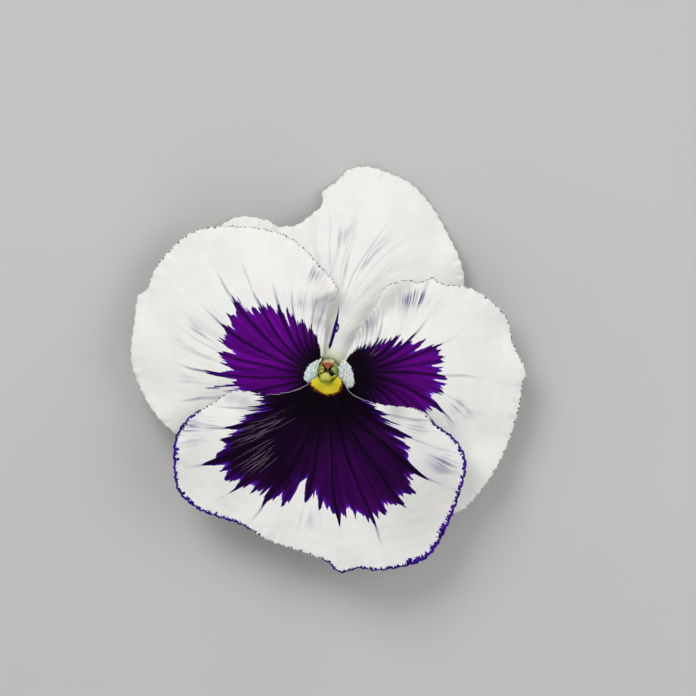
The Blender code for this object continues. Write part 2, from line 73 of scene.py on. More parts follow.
# Each petal: its outline seen from above, the angles that its claw spans round the receptacle and the
# radius of the ring it stands on, the level at which the blade leaves the throat, the radius of that bend,
# how the blade falls away with distance (slope and curve), the flutters of its rim (height, waves per
# radian, phase), and soft swells and hollows (x, y, radius, height).
PETALS = {
    "petal_upper_left": {
        "outline": [
            (-0.2, 5.4), (1.6, 10.0), (2.4, 17.1), (0.4, 24.2), (-4.1, 28.6), (-9.8, 29.9),
            (-11.7, 31.1), (-17.0, 32.0), (-21.0, 30.3), (-25.6, 26.7), (-30.2, 20.8),
            (-31.7, 14.2), (-29.0, 8.0), (-20.2, 4.6), (-11.1, 3.8), (-4.4, 3.4),
        ],
        "claw": (120, 150), "ring": 2.5, "level": 10.0, "bend": 1.2, "slope": 0.18, "curve": 0.0025,
        "flutters": [(0.6, 9.0, 0.4), (0.35, 17.0, 1.0)],
        "swells": [(-14, 16, 9, 0.4), (-24, 24, 6, -0.6)],
    },
    "petal_upper_right": {
        "outline": [
            (4.6, 4.0), (10.0, 5.5), (17.1, 8.5), (23.2, 12.9), (26.9, 18.1), (26.5, 22.5),
            (24.2, 27.9), (21.1, 33.6), (16.7, 38.5), (12.7, 40.5), (8.7, 41.8), (5.7, 41.8),
            (3.7, 41.0), (1.7, 38.9), (-0.9, 36.9), (-1.0, 34.4), (-3.0, 32.4), (-6.1, 30.1),
            (-9.6, 29.6), (-12.4, 26.8), (-12.8, 21.2), (-9.7, 14.1), (-5.0, 9.0), (-1.4, 5.8),
        ],
        "claw": (32, 112), "ring": 2.5, "level": 11.5, "bend": 1.2, "slope": 0.08, "curve": 0.0040,
        "flutters": [(0.7, 10.0, 1.2), (0.4, 19.0, 0.0)],
        "swells": [(14, 26, 9, 0.7), (6, 38, 4, -0.8), (-4, 24, 6, 0.3)],
    },
    "petal_left": {
        "outline": [
            (-0.7, 4.5), (-0.5, 7.6), (-0.2, 11.0), (0.6, 14.5), (2.2, 17.2), (-0.7, 21.2),
            (-5.9, 26.6), (-11.7, 29.1), (-20.9, 29.8), (-27.0, 28.5), (-31.1, 25.1),
            (-34.0, 21.4), (-35.5, 17.5), (-37.4, 15.9), (-38.0, 10.7), (-38.6, 5.5),
            (-38.1, 1.1), (-34.9, -5.6), (-30.1, -10.7), (-24.1, -13.1), (-16.0, -11.5),
            (-9.0, -7.0), (-4.4, -2.8),
        ],
        "claw": (158, 196), "ring": 2.2, "level": 13.1, "bend": 2.0, "slope": 0.03, "curve": 0.0045,
        "flutters": [(0.7, 9.0, 0.0), (0.4, 17.0, 0.7)],
        "swells": [(2, 18, 4, 0.6), (-3, 12, 4, -0.3), (-20, 17, 10, 0.7), (-33, 3, 8, -0.6)],
    },
    "petal_right": {
        "outline": [
            (4.4, -3.2), (8.2, -8.4), (14.0, -16.1), (19.6, -24.2), (25.7, -26.5), (30.9, -21.4),
            (35.2, -14.1), (37.7, -6.5), (38.5, -1.1), (39.2, 1.1), (37.5, 4.9), (36.5, 7.2),
            (35.8, 11.0), (33.2, 14.3), (28.3, 17.6), (22.7, 18.4), (20.7, 19.7), (18.1, 18.7),
            (15.6, 19.2), (11.4, 17.8), (9.6, 14.0), (7.2, 10.8), (5.4, 7.4), (4.0, 5.0),
        ],
        "claw": (-16, 22), "ring": 2.3, "level": 13.1, "bend": 2.0, "slope": 0.03, "curve": 0.0045,
        "flutters": [(0.8, 12.0, 2.0), (0.4, 21.0, 0.5)],
        "swells": [(13, 17, 4, 0.8), (17, 13, 4, -0.6), (26, 2, 9, 0.6), (30, -14, 8, -0.5)],
    },
    "petal_lower": {
        "outline": [
            (-3.9, -1.3), (-5.5, -2.1), (-8.0, -2.8), (-11.6, -3.2), (-18.1, -2.4), (-22.4, -4.9),
            (-26.9, -7.6), (-29.5, -11.4), (-30.0, -16.0), (-29.3, -22.0), (-25.5, -25.6),
            (-21.0, -27.4), (-16.4, -28.9), (-11.0, -32.0), (-4.5, -34.2), (-0.3, -35.9),
            (2.5, -38.2), (6.4, -37.3), (10.0, -37.7), (17.3, -36.5), (20.8, -34.1),
            (23.8, -28.7), (25.9, -22.9), (27.2, -16.6), (25.2, -12.1), (21.4, -9.1),
            (17.7, -6.1), (10.9, -5.2), (6.7, -4.0), (4.7, -2.9), (3.8, -1.7),
        ],
        "claw": (203, 337), "ring": 2.1, "level": 13.0, "bend": 0.9, "slope": -0.03, "curve": 0.0030,
        "flutters": [(0.7, 9.0, 0.8), (0.4, 19.0, 1.6)],
        "swells": [
            (-20, -14, 8, 0.8), (16, -16, 8, 0.6), (-2, -24, 6, -0.5), (16, -30, 6, -0.6),
            (-15, -1.5, 3, 0.5), (10, -4, 3, 0.4),
        ],
    },
}
FLUTTER_START = 12.0
FLUTTER_REACH = 5.0
SWELL_START = 4.0
ON_TABLE = ("petal_upper_left", "petal_upper_right")
TABLE_START = 14.0
TABLE_END = 34.0
LIP_RISE = 1.5
GROOVE_HALF_ANGLE = 8.0
LIP_HALF_ANGLE = 48.0
LIP_FADE = (16.0, 36.0)
# A fold across a petal: its two ends, its height, its width, and how far its raised side fades
CREASES = {"petal_left": ((-4.2, 13.9), (2.6, 17.3), 0.8, 0.8, 4.0)}
CREASE_START = 0.5  # share of its length over which it comes up
CREASE_END = (1.2, 1.6)  # and the shares between which it goes down again
BEARDS = {"petal_left": (-3.9, 0.8), "petal_right": (4.4, 0.6)}
BEARD_HEIGHT = 0.45
BEARD_RADIUS = 1.5

# How the veins fan out on each petal: the direction of the straight one in degrees, and how strongly the
# others bend away from it on their way out
VEIN_FANS = {
    "petal_upper_left": (130.0, 1.0),
    "petal_upper_right": (84.0, 1.4),
    "petal_left": (210.0, 0.35),
    "petal_right": (0.0, 1.4),
    "petal_lower": (270.0, 0.45),
}
VEIN_BEND = 0.3
VEIN_MIDDLE = 18.0  # distance from the receptacle's axis at which the fan has its plain spacing
VEINS_PER_RADIAN = 5.0
FIRST_VEIN = 80.0  # number of the first petal's straight vein, and the next petals' shift
VEIN_SHIFT = 3.7

# Fine relief: folds that run out along the veins, a soft quilting between them, and a crimped rim
FOLD_HEIGHT = 0.05
QUILT_HEIGHT = 0.035
QUILT_LENGTH = 2.6
CRIMP_HEIGHT = 0.16
CRIMP_LENGTH = 3.7  # of one wave along the rim, and of the finer waves on it
FINE_CRIMP_LENGTH = 1.9
CRIMP_REACH = 1.8
RIM_NICKS = [(0.10, 2.3, 0.4), (0.07, 1.1, 1.9), (0.05, 0.63, 3.1)]  # in the outline: depth, length, phase
NICK_DRIFT = 60.0  # the way along the rim on which the phase doubles
NICK_START = 6.0

# Markings: outlines of the dark blotches, seen from above
BLOTCHES = {
    "petal_left": [
        (-1.2, 3.7), (-1.5, 6.2), (-2.5, 8.5), (-4.6, 10.5), (-7.2, 11.7), (-10.2, 13.0), (-13.4, 13.6),
        (-16.2, 14.2), (-17.7, 16.8), (-17.6, 13.6), (-18.4, 12.6), (-18.8, 10.4), (-20.4, 8.4),
        (-20.0, 5.8), (-20.8, 3.6), (-20.0, 1.6), (-23.4, 0.8), (-19.4, 0.0), (-18.6, -1.1),
        (-24.0, -2.1), (-17.4, -3.2), (-11.3, -6.0), (-4.5, -5.0), (-1.5, -0.5),
    ],
    "petal_right": [
        (4.0, 3.9), (5.2, 5.0), (7.1, 6.0), (10.4, 6.8), (13.6, 7.1), (16.4, 7.0), (19.4, 6.4),
        (22.2, 5.2), (22.4, 3.6), (24.8, 2.2), (22.2, 0.8), (24.2, -1.2), (21.8, -3.2), (22.0, -5.2),
        (18.9, -7.8), (14.4, -9.0), (9.2, -8.6), (5.1, -6.4), (2.0, 0.0),
    ],
    "petal_lower": [
        (-4.2, 1.0), (-8.0, -1.9), (-11.9, -2.8), (-12.2, -4.6), (-15.8, -6.8), (-18.2, -9.4),
        (-19.8, -11.8), (-20.4, -13.6), (-21.8, -15.8), (-22.4, -17.4), (-20.3, -18.9), (-19.2, -20.3),
        (-16.6, -20.7), (-13.4, -22.5), (-10.6, -24.0), (-8.0, -24.2), (-6.2, -22.8), (-4.9, -20.4),
        (-3.6, -22.6), (-1.2, -25.2), (1.4, -26.7), (4.4, -27.3), (7.6, -27.7), (10.4, -26.9),
        (13.2, -25.1), (15.5, -22.8), (16.6, -20.4), (17.5, -18.0), (17.0, -15.6), (15.9, -13.0),
        (13.7, -9.9), (11.7, -8.2), (9.9, -6.5), (8.4, -4.3), (4.2, -0.8), (2.0, 1.5),
    ],
}
BLOTCH_SPAN = 12.0  # the distance to a blotch's outline is kept only up to here
DUSK = {  # length of the near-black heart of each blotch and of its fading, and what is left of it beyond
    "petal_left": (-1.0, 7.0, 0.02),
    "petal_right": (1.5, 10.0, 0.14),
    "petal_lower": (5.0, 18.0, 0.68),
}
NO_DUSK = (-9.0, -8.0, 0.0)  # on a petal without a blotch
SHADES = {  # darker parts of a blotch
    "petal_lower": [((-14.0, -13.0), 8.0, 2.0), ((-8.5, -17.5), 4.5, 0.8), ((13.0, -16.5), 6.5, 0.8)],
    "petal_right": [((8.0, -1.5), 5.0, 0.6), ((11.0, 1.0), 6.0, 0.5)],
}
# Painted shade: grey patches where the petal lies in shade, such as under the left petal's fold and beside
# overlapping edges
PAINTED_SHADES = {  # soft grey places in the white
    "petal_left": [((-1.7, 11.0), 1.3, 0.6), ((0.5, 15.3), 1.3, 0.5), ((-1.8, 14.2), 1.4, 0.45)],
    "petal_right": [((14.0, 15.0), 3.0, 0.15), ((8.0, 9.0), 2.0, 0.2)],
    "petal_lower": [
        ((-18.6, -3.9), 1.4, 0.3), ((-16.0, -4.7), 1.5, 0.45), ((-13.4, -5.6), 1.4, 0.45),
        ((13.6, -6.8), 2.2, 0.5), ((18.0, -9.3), 2.0, 0.25),
        ((21.0, -21.0), 8.0, 0.16), ((16.0, -30.0), 8.0, 0.12),
    ],
    "petal_upper_right": [((4.5, 7.5), 2.2, 0.35), ((0.2, 9.0), 1.5, 0.25), ((8.0, 12.0), 3.0, 0.2)],
}

# White patch beside the eye on each side petal, and the yellow eye on the lower petal
PATCHES = {
    "petal_left": [
        (-0.6, 4.1), (-1.3, 3.8), (-2.2, 3.4), (-3.3, 2.7), (-4.0, 1.7), (-4.4, 0.6), (-4.1, -0.5),
        (-3.3, -0.9), (-1.0, -0.6), (0.2, 1.4),
    ],
    "petal_right": [
        (2.3, 3.5), (3.8, 3.2), (4.6, 2.1), (5.1, 0.7), (5.2, -1.2), (4.4, -1.9), (3.4, -2.3),
        (1.4, -1.4), (0.4, 1.4),
    ],
}
EYES = {
    "petal_lower": [
        (-3.3, 0.6), (-3.2, -0.5), (-2.9, -1.4), (-2.0, -2.3), (-0.9, -2.9), (0.4, -3.1), (1.6, -2.9),
        (2.5, -2.3), (2.8, -1.2), (2.8, 0.2), (1.8, 1.4), (-1.8, 1.4),
    ],
}
MARK_SPAN = 4.0
MARK_STEP = 0.3  # between the points on the smooth outline of a mark

# The one dark streak at the foot of the upper right petal: where it starts and ends, its half width and bow
STREAKED = "petal_upper_right"
STREAK_START = np.array([0.35, 5.5])
STREAK_END = np.array([2.45, 14.6])
STREAK_HALF_WIDTH = 0.32
STREAK_BOW = 0.25
FAR_ASIDE = 50.0  # on the petals without a streak
LOOP_MIDDLE = (0.28, 0.48)  # of the small loop on its right: millimetres aside, share of the length
LOOP_SHARPNESS = (3.0, 13.0)

# Faint grey-violet streaks in the white: centre, radius and strength of each patch of them
SMUDGES = {
    "petal_upper_right": [
        ((6.0, 24.5), 6.5, 0.34), ((3.4, 19.5), 4.5, 0.4), ((2.0, 29.0), 4.5, 0.24),
        ((11.0, 25.0), 4.0, 0.16),
    ],
    "petal_left": [
        ((-2.4, 20.2), 1.7, 1.1), ((-0.6, 13.0), 2.8, 0.9), ((-5.4, 14.6), 1.8, 0.9),
        ((-24.5, 8.0), 4.0, 0.6), ((-25.0, 0.5), 3.0, 0.6),
    ],
    "petal_right": [
        ((8.3, 10.9), 2.4, 1.2), ((18.4, 15.8), 2.6, 1.2), ((15.2, 14.8), 2.2, 0.9),
        ((25.6, -5.6), 2.6, 1.0), ((21.0, -8.6), 2.6, 0.7),
    ],
    "petal_lower": [
        ((-26.7, -10.1), 2.4, 1.0), ((-21.8, -9.6), 1.8, 0.6), ((22.8, -16.4), 2.6, 1.0),
        ((17.9, -9.2), 2.3, 1.0), ((-4.0, -27.5), 2.0, 0.5),
    ],
    "petal_upper_left": [((-6.0, 20.0), 6.0, 0.3)],
}
SMUDGE_LIMIT = 1.2  # of the strength where patches overlap

# Long fine hairs that lie on the dark parts: petal, middle and radius of the place, and how many
LYING_HAIRS = [
    ("petal_lower", (-13.6, -10.6), 3.2, 22),
    ("petal_lower", (-13.8, -16.0), 2.8, 18),
    ("petal_lower", (-9.6, -7.2), 2.4, 4),
    ("petal_right", (9.0, 5.0), 0.8, 4),
]
LYING_LENGTH = (3.0, 7.0)
LYING_RADIUS = 0.028
LYING_ARCH = 0.1
LYING_STRAY = 0.12
LYING_TAPER = np.array([0.5, 1.0, 1.0, 1.0, 1.0, 1.0, 0.8, 0.6, 0.3])
LYING_SIDES = 4

# Violet line along the rim: places on the outline, and its width there; below 0, the width of a painted
# highlight where the rim turns up and catches the light
RIM_INK = {
    "petal_left": [
        ((-0.7, 4.5), 0.0), ((1.4, 16.4), 0.12), ((-0.7, 21.2), 0.24), ((-11.7, 29.1), 0.2),
        ((-27.0, 28.5), 0.24), ((-35.5, 17.5), 0.14), ((-37.4, 15.9), 0.0), ((-4.4, -2.8), 0.0),
    ],
    "petal_right": [
        ((4.4, -3.2), 0.0), ((19.6, -24.2), 0.0), ((25.7, -26.5), 0.14), ((35.2, -14.1), 0.14),
        ((38.5, -1.1), 0.24), ((36.5, 7.2), 0.24), ((28.3, 17.6), 0.22), ((20.7, 19.7), 0.26),
        ((11.4, 17.8), 0.22), ((9.6, 14.0), 0.0), ((4.0, 5.0), 0.0),
    ],
    "petal_lower": [
        ((-3.9, -1.3), -0.09), ((-8.0, -2.8), -0.09), ((-11.6, -3.2), -0.07), ((-13.2, -3.2), 0.12),
        ((-18.1, -2.4), 0.26), ((-24.2, -6.0), 0.26), ((-25.6, -7.0), 0.4), ((-30.0, -16.0), 0.52),
        ((-29.3, -22.0), 0.42), ((-21.0, -27.4), 0.42), ((-12.5, -31.2), 0.26), ((-4.5, -34.2), 0.18),
        ((-0.3, -35.9), 0.32), ((6.4, -37.3), 0.33), ((13.5, -37.2), 0.36), ((17.3, -36.5), 0.62),
        ((23.8, -28.7), 0.66), ((26.4, -21.0), 0.44), ((27.2, -16.6), 0.42), ((21.4, -9.1), 0.34),
        ((17.0, -6.0), 0.2), ((13.5, -5.6), 0.12), ((9.5, -4.9), -0.07), ((3.8, -1.7), -0.09),
    ],
}

SOLID_INK = (0.26, 0.32)  # widths between which the dashed line becomes an unbroken one

# Beard hairs of the side petals
HAIRS = 300
HAIR_LENGTH = (0.3, 0.6)
HAIR_RADIUS = 0.13
HAIR_FLOOR = 12.3  # none stands deeper in the throat
HAIR_SIDES = 6
HAIR_SHARES = (0.0, 0.35, 0.7, 0.9, 1.0)
HAIR_SWELLING = (0.5, 0.6, 0.95, 1.0, 0.6)
HAIR_BEND = 0.25
HAIR_STRAY = 0.35
HAIR_LEAN = (0.4, 0.9, 0.8)  # along the petal's normal, up, and at most this much inward

# Sepals: direction round the receptacle in degrees, and the tip's distance from its axis and height
SEPALS = {
    "sepal_top": (90, 16.0, 5.4),
    "sepal_left": (160, 17.0, 4.6),
    "sepal_right": (20, 17.0, 6.0),
    "sepal_lower_left": (222, 16.0, 9.6),
    "sepal_lower_right": (318, 16.0, 9.6),
}
SEPAL_BACK = [(5.6, 4.6), (4.3, 5.7), (3.4, 7.1), (4.1, 7.75), (6.5, 7.9)]
SEPAL_ARCH = 0.3
SEPAL_STEP = 0.25
SEPAL_SHARES = (0.0, 0.05, 0.1, 0.2, 0.4, 0.55, 0.8, 0.93, 1.0)
SEPAL_HALF_WIDTHS = (0.75, 1.25, 1.6, 1.5, 2.2, 2.45, 1.5, 0.62, 0.06)
SEPAL_CUPPING = 0.2
SEPAL_COLUMNS = 36
SEPAL_THICKNESS = 0.42
SEPAL_EDGE = 0.12
SEPAL_KEEL = 0.16  # how far the midrib stands out behind
SEPAL_RIB = 0.05  # and the two ribs beside it

# Stalk: cut end first, along the table, then the hook up to the receptacle
STALK_RADIUS = 1.0
STALK_RIDGE = 0.06
STALK_RIDGES = 5
STALK_LEVEL = 1.016
STALK_ON_TABLE = [(5.5, -33.5), (2.6, -27.0), (0.3, -19.0), (-0.5, -10.0), (-0.1, -3.0), (0.1, 1.6)]
STALK_HOOK = [(0.15, 2.6, STALK_LEVEL), (0.2, 4.1, 1.9), (0.2, 4.6, 3.4), (0.2, 3.7, 5.2), (0.2, 1.8, 6.5)]
STALK_STEP = 0.5
STALK_SIDES = 40
CUT_SLANT = 0.5
NECK = [(7.0, 1.5), (7.3, 2.2), (7.6, 2.9), (7.9, RECEPTACLE_RADIUS), (RECEPTACLE_TOP, 3.05)]
BRACTEOLES = [(-12.5, 1), (-16.0, -1)]
BRACTEOLE_LENGTH = 3.4
BRACTEOLE_HALF_WIDTH = 0.55
BRACTEOLE_LEAN = (1.5, 0.75, 0.25)
BRACTEOLE_ROWS = 26
BRACTEOLE_COLUMNS = 10
BRACTEOLE_ARCH = 0.35
BRACTEOLE_CUPPING = 0.25
BRACTEOLE_THICKNESS = 0.18
BRACTEOLE_PALENESS = 0.3

# Spur of the lower petal: its axis from the throat back, and its radius along it
SPUR_AXIS = [
    (0.1, -1.95, 12.5), (0.1, -2.4, 10.9), (0.1, -3.3, 9.4), (0.1, -3.9, 7.8),
    (0.1, -4.2, 6.2), (0.1, -4.5, 4.8), (0.1, -4.7, 3.9),
]
SPUR_RADII = [1.1, 1.2, 1.3, 1.42, 1.4, 1.1, 0.3]
SPUR_STEP = 0.3
SPUR_SIDES = 28

# Pistil and stamens
OVARY = [
    (8.4, 0.55), (8.9, 0.75), (9.6, 0.8), (10.3, 0.7), (10.9, 0.5), (11.5, 0.38), (12.6, 0.42), (13.3, 0.5),
]
STYLE_TOP = 13.3
STIGMA_DENT = (Vector((0.0, -0.75, 0.35)), 0.55, 0.5)  # direction, radius and depth of the stigma's mouth
PISTIL_SIDES = 32
ANTHER_FOOT = 8.5
ANTHER_SHOULDER = 11.7
ANTHER_TIP = 12.8
ANTHER_AXIS = np.array([0.25, 1.45])
ANTHER_RADIUS = 1.9
ANTHER_TAPER = 0.3
ANTHER_LEAN = 0.3  # how far they follow the style's bend
# Each anther, by its direction in degrees: ripeness, yellowness, flare outward, and lean of its tip inward
ANTHERS = {
    90: (1.0, 0.0, 0.75, 1.6),
    162: (0.0, 0.75, 0.15, 0.7),
    234: (0.0, 1.0, 0.0, 0.2),
    306: (0.0, 1.0, 0.4, 0.5),
    18: (0.0, 0.0, 0.45, 1.0),
}
ANTHER_BULGE = 0.1
ANTHER_THICKNESS = 0.4
ANTHER_COLUMNS = 18
ANTHER_ROWS = 44
# Dark beads set on the anthers where shaded gaps between their tips show: painted shade
SHADE_SPECKS = [(-1.35, 0.82), (-0.9, 1.81), (0.62, 1.0), (1.09, 1.35), (1.05, 0.6), (-1.03, 2.7), (1.3, 2.6)]
SHADE_SPECK_RADIUS = 0.16

# Camera: straight above, where the picture of the bloom has its place and size in the frame
CAMERA_PLACE = (4.1, 5.85, 578.0)
CAMERA_LENS = 150.0
CAMERA_SENSOR = 36.0

# Soft light: place, size and power of each lamp
LAMPS = {
    "key": ((-260.0, 420.0, 460.0), 420.0, 2.2),
    "fill": ((420.0, 60.0, 380.0), 420.0, 0.7),
    "front": ((60.0, -460.0, 360.0), 420.0, 0.45),
}
WORLD_STRENGTH = 0.42
FLOOR_SIZE = 4000.0


def colour(red, green, blue):
    """A colour given as seen on a screen, in steps of 0 to 255, as linear light."""
    linear = [((c / 255 + 0.055) / 1.055) ** 2.4 if c > 10 else c / 255 / 12.92 for c in (red, green, blue)]
    return (*linear, 1.0)


# Finishes. A Signal is a number or colour that varies over a surface; a Finish is the material it feeds.
# A tuple of three numbers is a colour as seen on a screen.


class Signal:
    def __init__(self, finish, socket):
        self.finish = finish
        self.socket = socket

    def math(self, operation, *others):
        node = self.finish.node("Math", dict(enumerate((self, *others))), operation=operation)
        return Signal(self.finish, node.outputs[0])

    def __add__(self, other):
        return self.math("ADD", other)

    def __sub__(self, other):
        return self.math("SUBTRACT", other)

    def __mul__(self, other):
        return self.math("MULTIPLY", other)

    def __truediv__(self, other):
        return self.math("DIVIDE", other)

    def least(self, other):
        return self.math("MINIMUM", other)

    def most(self, other):
        return self.math("MAXIMUM", other)

    def size(self):
        return self.math("ABSOLUTE")

    def floor(self):
        return self.math("FLOOR")

    def opposite(self):
        """One less this signal."""
        return self * -1.0 + 1.0

    def step(self, start, end):
        """0 up to start, 1 from end on, and smooth between them."""
        node = self.finish.node("MapRange", {0: self, 1: start, 2: end}, interpolation_type="SMOOTHSTEP")
        return Signal(self.finish, node.outputs[0])

    def fall(self, start, end):
        """1 up to start, 0 from end on, and smooth between them."""
        return self.step(start, end).opposite()


class Finish:
    def __init__(self, name, roughness, sheen=0.0, subsurface=0.0, specular=0.4):
        self.material = bpy.data.materials.new(name)
        self.material.use_nodes = True
        self.tree = self.material.node_tree
        self.shader = self.tree.nodes["Principled BSDF"]
        settings = {
            "Roughness": roughness, "Specular IOR Level": specular, "Sheen Weight": sheen,
            "Sheen Roughness": 0.5, "Subsurface Weight": subsurface, "Subsurface Scale": 0.5 * MM,
        }
        for place, value in settings.items():
            self.shader.inputs[place].default_value = value

    def node(self, kind, inputs, **settings):
        made = self.tree.nodes.new("ShaderNode" + kind)
        for name, value in settings.items():
            setattr(made, name, value)
        for place, value in inputs.items():
            self.feed(made.inputs[place], value)
        return made

    def feed(self, socket, value):
        if isinstance(value, Signal):
            self.tree.links.new(value.socket, socket)
        elif isinstance(value, tuple):
            socket.default_value = colour(*value)
        else:
            socket.default_value = value

    def attribute(self, name):
        """A value that each vertex of the mesh carries."""
        node = self.node("Attribute", {}, attribute_name=name)
        return Signal(self, node.outputs["Fac"])

    def noise(self, vector, scale, detail, roughness):
        inputs = {"Vector": vector, "Scale": scale, "Detail": detail, "Roughness": roughness}
        return Signal(self, self.node("TexNoise", inputs).outputs[0])

    def mottle(self, scale, detail=2.0, roughness=0.5):
        """Noise through space, in waves per metre: the meshes stand in the frame of the part."""
        place = Signal(self, self.node("TexCoord", {}).outputs["Object"])
        return self.noise(place, scale, detail, roughness)

    def pattern(self, x, y, draw=0.0, detail=2.0, roughness=0.5):
        """Noise over two signals, with about one wave to 1 of each, and another pattern for each draw."""
        place = Signal(self, self.node("CombineXYZ", {0: x, 1: y, 2: draw}).outputs[0])
        return self.noise(place, 1.0, detail, roughness)

    def chance(self, number):
        """One random value for each whole number."""
        node = self.node("TexWhiteNoise", {"W": number}, noise_dimensions="1D")
        return Signal(self, node.outputs["Value"])

    def mix(self, share, under, over):
        """One colour over another."""
        node = self.node("Mix", {0: share, 6: under, 7: over}, data_type="RGBA")
        return Signal(self, node.outputs[2])

    def layered(self, base, *layers):
        """A colour with others over it, each given with its share."""
        for share, over in layers:
            base = self.mix(share, base, over)
        return base

    def paint(self, base, *layers):
        self.feed(self.shader.inputs["Base Color"], self.layered(base, *layers))

    def bump(self, height, depth):
        """Relief from a height of 0 to 1, with its real depth in millimetres."""
        node = self.node("Bump", {"Height": height, "Distance": depth * MM, "Strength": 1.0})
        self.tree.links.new(node.outputs[0], self.shader.inputs["Normal"])


# Petal finishes. Every petal's vertices carry: fan, the vein number across the petal; spread, millimetres
# from the middle of the fan; reach, millimetres out from the throat; rim, millimetres in from the rim;
# edge, millimetres along the rim; ink, width of the rim's line; blotch, patch and eye, millimetres inside
# those outlines; facing, how squarely the blotch's outline crosses the veins; dusk, smudge and the painted
# shade where the petal lies in shade, strengths; aside and along, the place beside the one dark streak.
PETAL_SIGNALS = (
    "fan", "spread", "reach", "rim", "edge", "ink", "blotch", "patch", "eye", "facing", "dusk", "smudge",
    "haze", "aside", "along",
)


def veins(finish, fan, spread, reach):
    """Millimetres to the nearest main vein, fork and twig, into which each vein parts on its way out."""
    number = fan.floor()
    across = fan - number
    early = finish.chance(number)
    late = finish.chance(number + 50.0)
    first = (reach - early * 5.0).step(1.0, 9.0) * 0.5
    second = (reach - late * 7.0).step(7.0, 17.0) * 0.25
    scale = spread / VEINS_PER_RADIAN
    trunk = across.least(across.opposite()) * scale
    fork = (across - first).size() * scale
    twig = (across - second).size().least((across - second - 0.5).size()) * scale
    return trunk, fork, twig


def ridges(finish, across, out, draw, sharpness):
    """Thin bright lines that run outward, 1 at their middle."""
    noise = finish.pattern(across, out, draw, 1.0)
    return ((noise - 0.5).size() * sharpness).least(1.0).opposite()


def petal_signals(finish):
    """What the vertices carry, with the veins as main ones, as dark lines, as relief and as spikes."""
    petal = SimpleNamespace(**{name: finish.attribute(name) for name in PETAL_SIGNALS})
    sway = finish.pattern(petal.fan * 0.45, petal.reach * 0.05)
    petal.fan = petal.fan + (sway - 0.5) * 0.7
    trunk, fork, twig = veins(finish, petal.fan, petal.spread, petal.reach)
    petal.trunk, petal.fork = trunk, fork
    petal.main = trunk.fall(0.12, 0.5).most(fork.fall(0.05, 0.36) * 0.5)
    petal.dark = trunk.fall(0.05, 0.42).most(fork.fall(0.03, 0.32) * 0.75).most(twig.fall(0.0, 0.24) * 0.55)
    petal.vein = trunk.least(fork + 0.05).least(twig + 0.08)
    petal.spike = (trunk / -0.75 + 1.0).most((fork / -0.6 + 1.0) * 0.7).most(0.0)
    return petal


def blotch_depth(finish, petal):
    """Millimetres inside the feathered edge of the blotch, and how far its points run out."""
    fan, reach = petal.fan, petal.reach
    broad = finish.pattern(fan * 1.4, reach * 0.04, 7.0, 1.0) - 0.5
    teeth = ridges(finish, fan * 3.6, reach * 0.05, 3.0, 5.0)
    fine = ridges(finish, fan * 7.0, reach * 0.08, 5.0, 4.0)
    slits = ridges(finish, fan * 4.0, reach * 0.05, 17.0, 8.0)
    points = broad * 2.4 + petal.spike * 2.2 + teeth * 1.5 + fine * 1.3 - slits * 1.3 - 1.9
    return petal.blotch + points * petal.facing, points


def painted_rim_highlight(petal):
    """Share of a painted highlight, where the thin rim that parts two dark blotches turns up and catches the
    light; its width is the ink's, below 0.
    """
    width = petal.ink * -1.0
    return (width - petal.rim).step(-0.04, 0.04) * width.step(0.02, 0.06)


def rim_line(finish, petal):
    """Share of the violet line along the rim: broken where it is thin, combed inward where it is wide."""
    edge, rim, ink = petal.edge, petal.rim, petal.ink
    strokes = finish.pattern(edge * 2.4, rim * 0.35, 1.0, roughness=0.7)
    breaks = finish.pattern(edge * 0.9, 0.0, 4.0, roughness=0.6)
    dashes = finish.pattern(edge * 1.8, 0.0, 8.0, roughness=0.7).step(0.46, 0.51)
    solid = ink.step(*SOLID_INK)
    width = ink * ((strokes - 0.42).most(0.0) * 6.5 + (breaks - 0.36).most(0.0) * 2.5 + solid * 0.62)
    inset = rim.step(0.0, 0.08).most(solid)
    return (width - rim).step(-0.03, 0.06) * ink.step(0.02, 0.08) * dashes.most(solid) * inset


def smudges(finish, petal):
    """Share of the grey-violet strokes in the white, and of the mist around them."""
    fan, reach = petal.fan, petal.reach
    far = reach.step(9.0, 14.0)
    broad = ridges(finish, fan * 4.0, reach * 0.10, 23.0, 11.0).step(0.1, 0.8)
    fine = ridges(finish, fan * 8.0, reach * 0.08, 2.0, 7.0).step(0.2, 0.9)
    strokes = broad * far.opposite() + fine * far
    sparse = finish.pattern(fan * 3.0, reach * 0.10, 13.0).step(0.46, 0.66)
    sparse = sparse.most((petal.smudge - 0.55) * 1.8)
    lines = petal.trunk.fall(0.04, 0.22).most(petal.fork.fall(0.03, 0.18) * 0.8)
    lines = petal.smudge * (strokes * sparse).most(lines * 0.7)
    return (lines * 0.85).most(petal.smudge * sparse * 0.12)


def petal_white(finish, petal):
    """The white: warm or cool, grey along the veins, green at the throat, with trails beyond the blotch,
    and grey painted shade where the petal lies in shade.
    """
    cloud = finish.mottle(160.0, 3.0)
    trail = petal.trunk.fall(0.08, 0.4) * petal.blotch.step(-6.5, -0.5) * petal.facing
    some = finish.pattern(petal.fan * 0.9, 2.0, 21.0, 0.0).step(0.40, 0.50)
    return finish.layered(
        (245, 244, 238),
        (cloud.step(0.35, 0.65), (240, 240, 236)),
        (petal.dark * 0.06, (206, 206, 214)),
        (petal.reach.fall(-1.0, 2.5), (218, 222, 198)),
        (smudges(finish, petal), (118, 110, 152)),
        # painted shade: grey where the petal lies in shade
        (petal.haze, (150, 150, 158)),
        (trail * some * 0.8, (104, 98, 140)),
    )


def blotch_purple(finish, petal, streaks, depth, points):
    """The dark blotch: purple between near-black veins, violet at its tips, black toward the throat."""
    violet = finish.mix(points.step(-1.6, 0.4), (102, 24, 194), (46, 2, 108))
    return finish.layered(
        (80, 0, 112),
        (streaks.step(0.36, 0.66), (116, 2, 154)),
        ((petal.main * 0.85).most(petal.dark * 0.3), (22, 0, 42)),
        (petal.dusk, (8, 0, 12)),
        (depth.fall(0.1, 1.5) * petal.reach.step(2.0, 8.0) * 0.85, violet),
    )


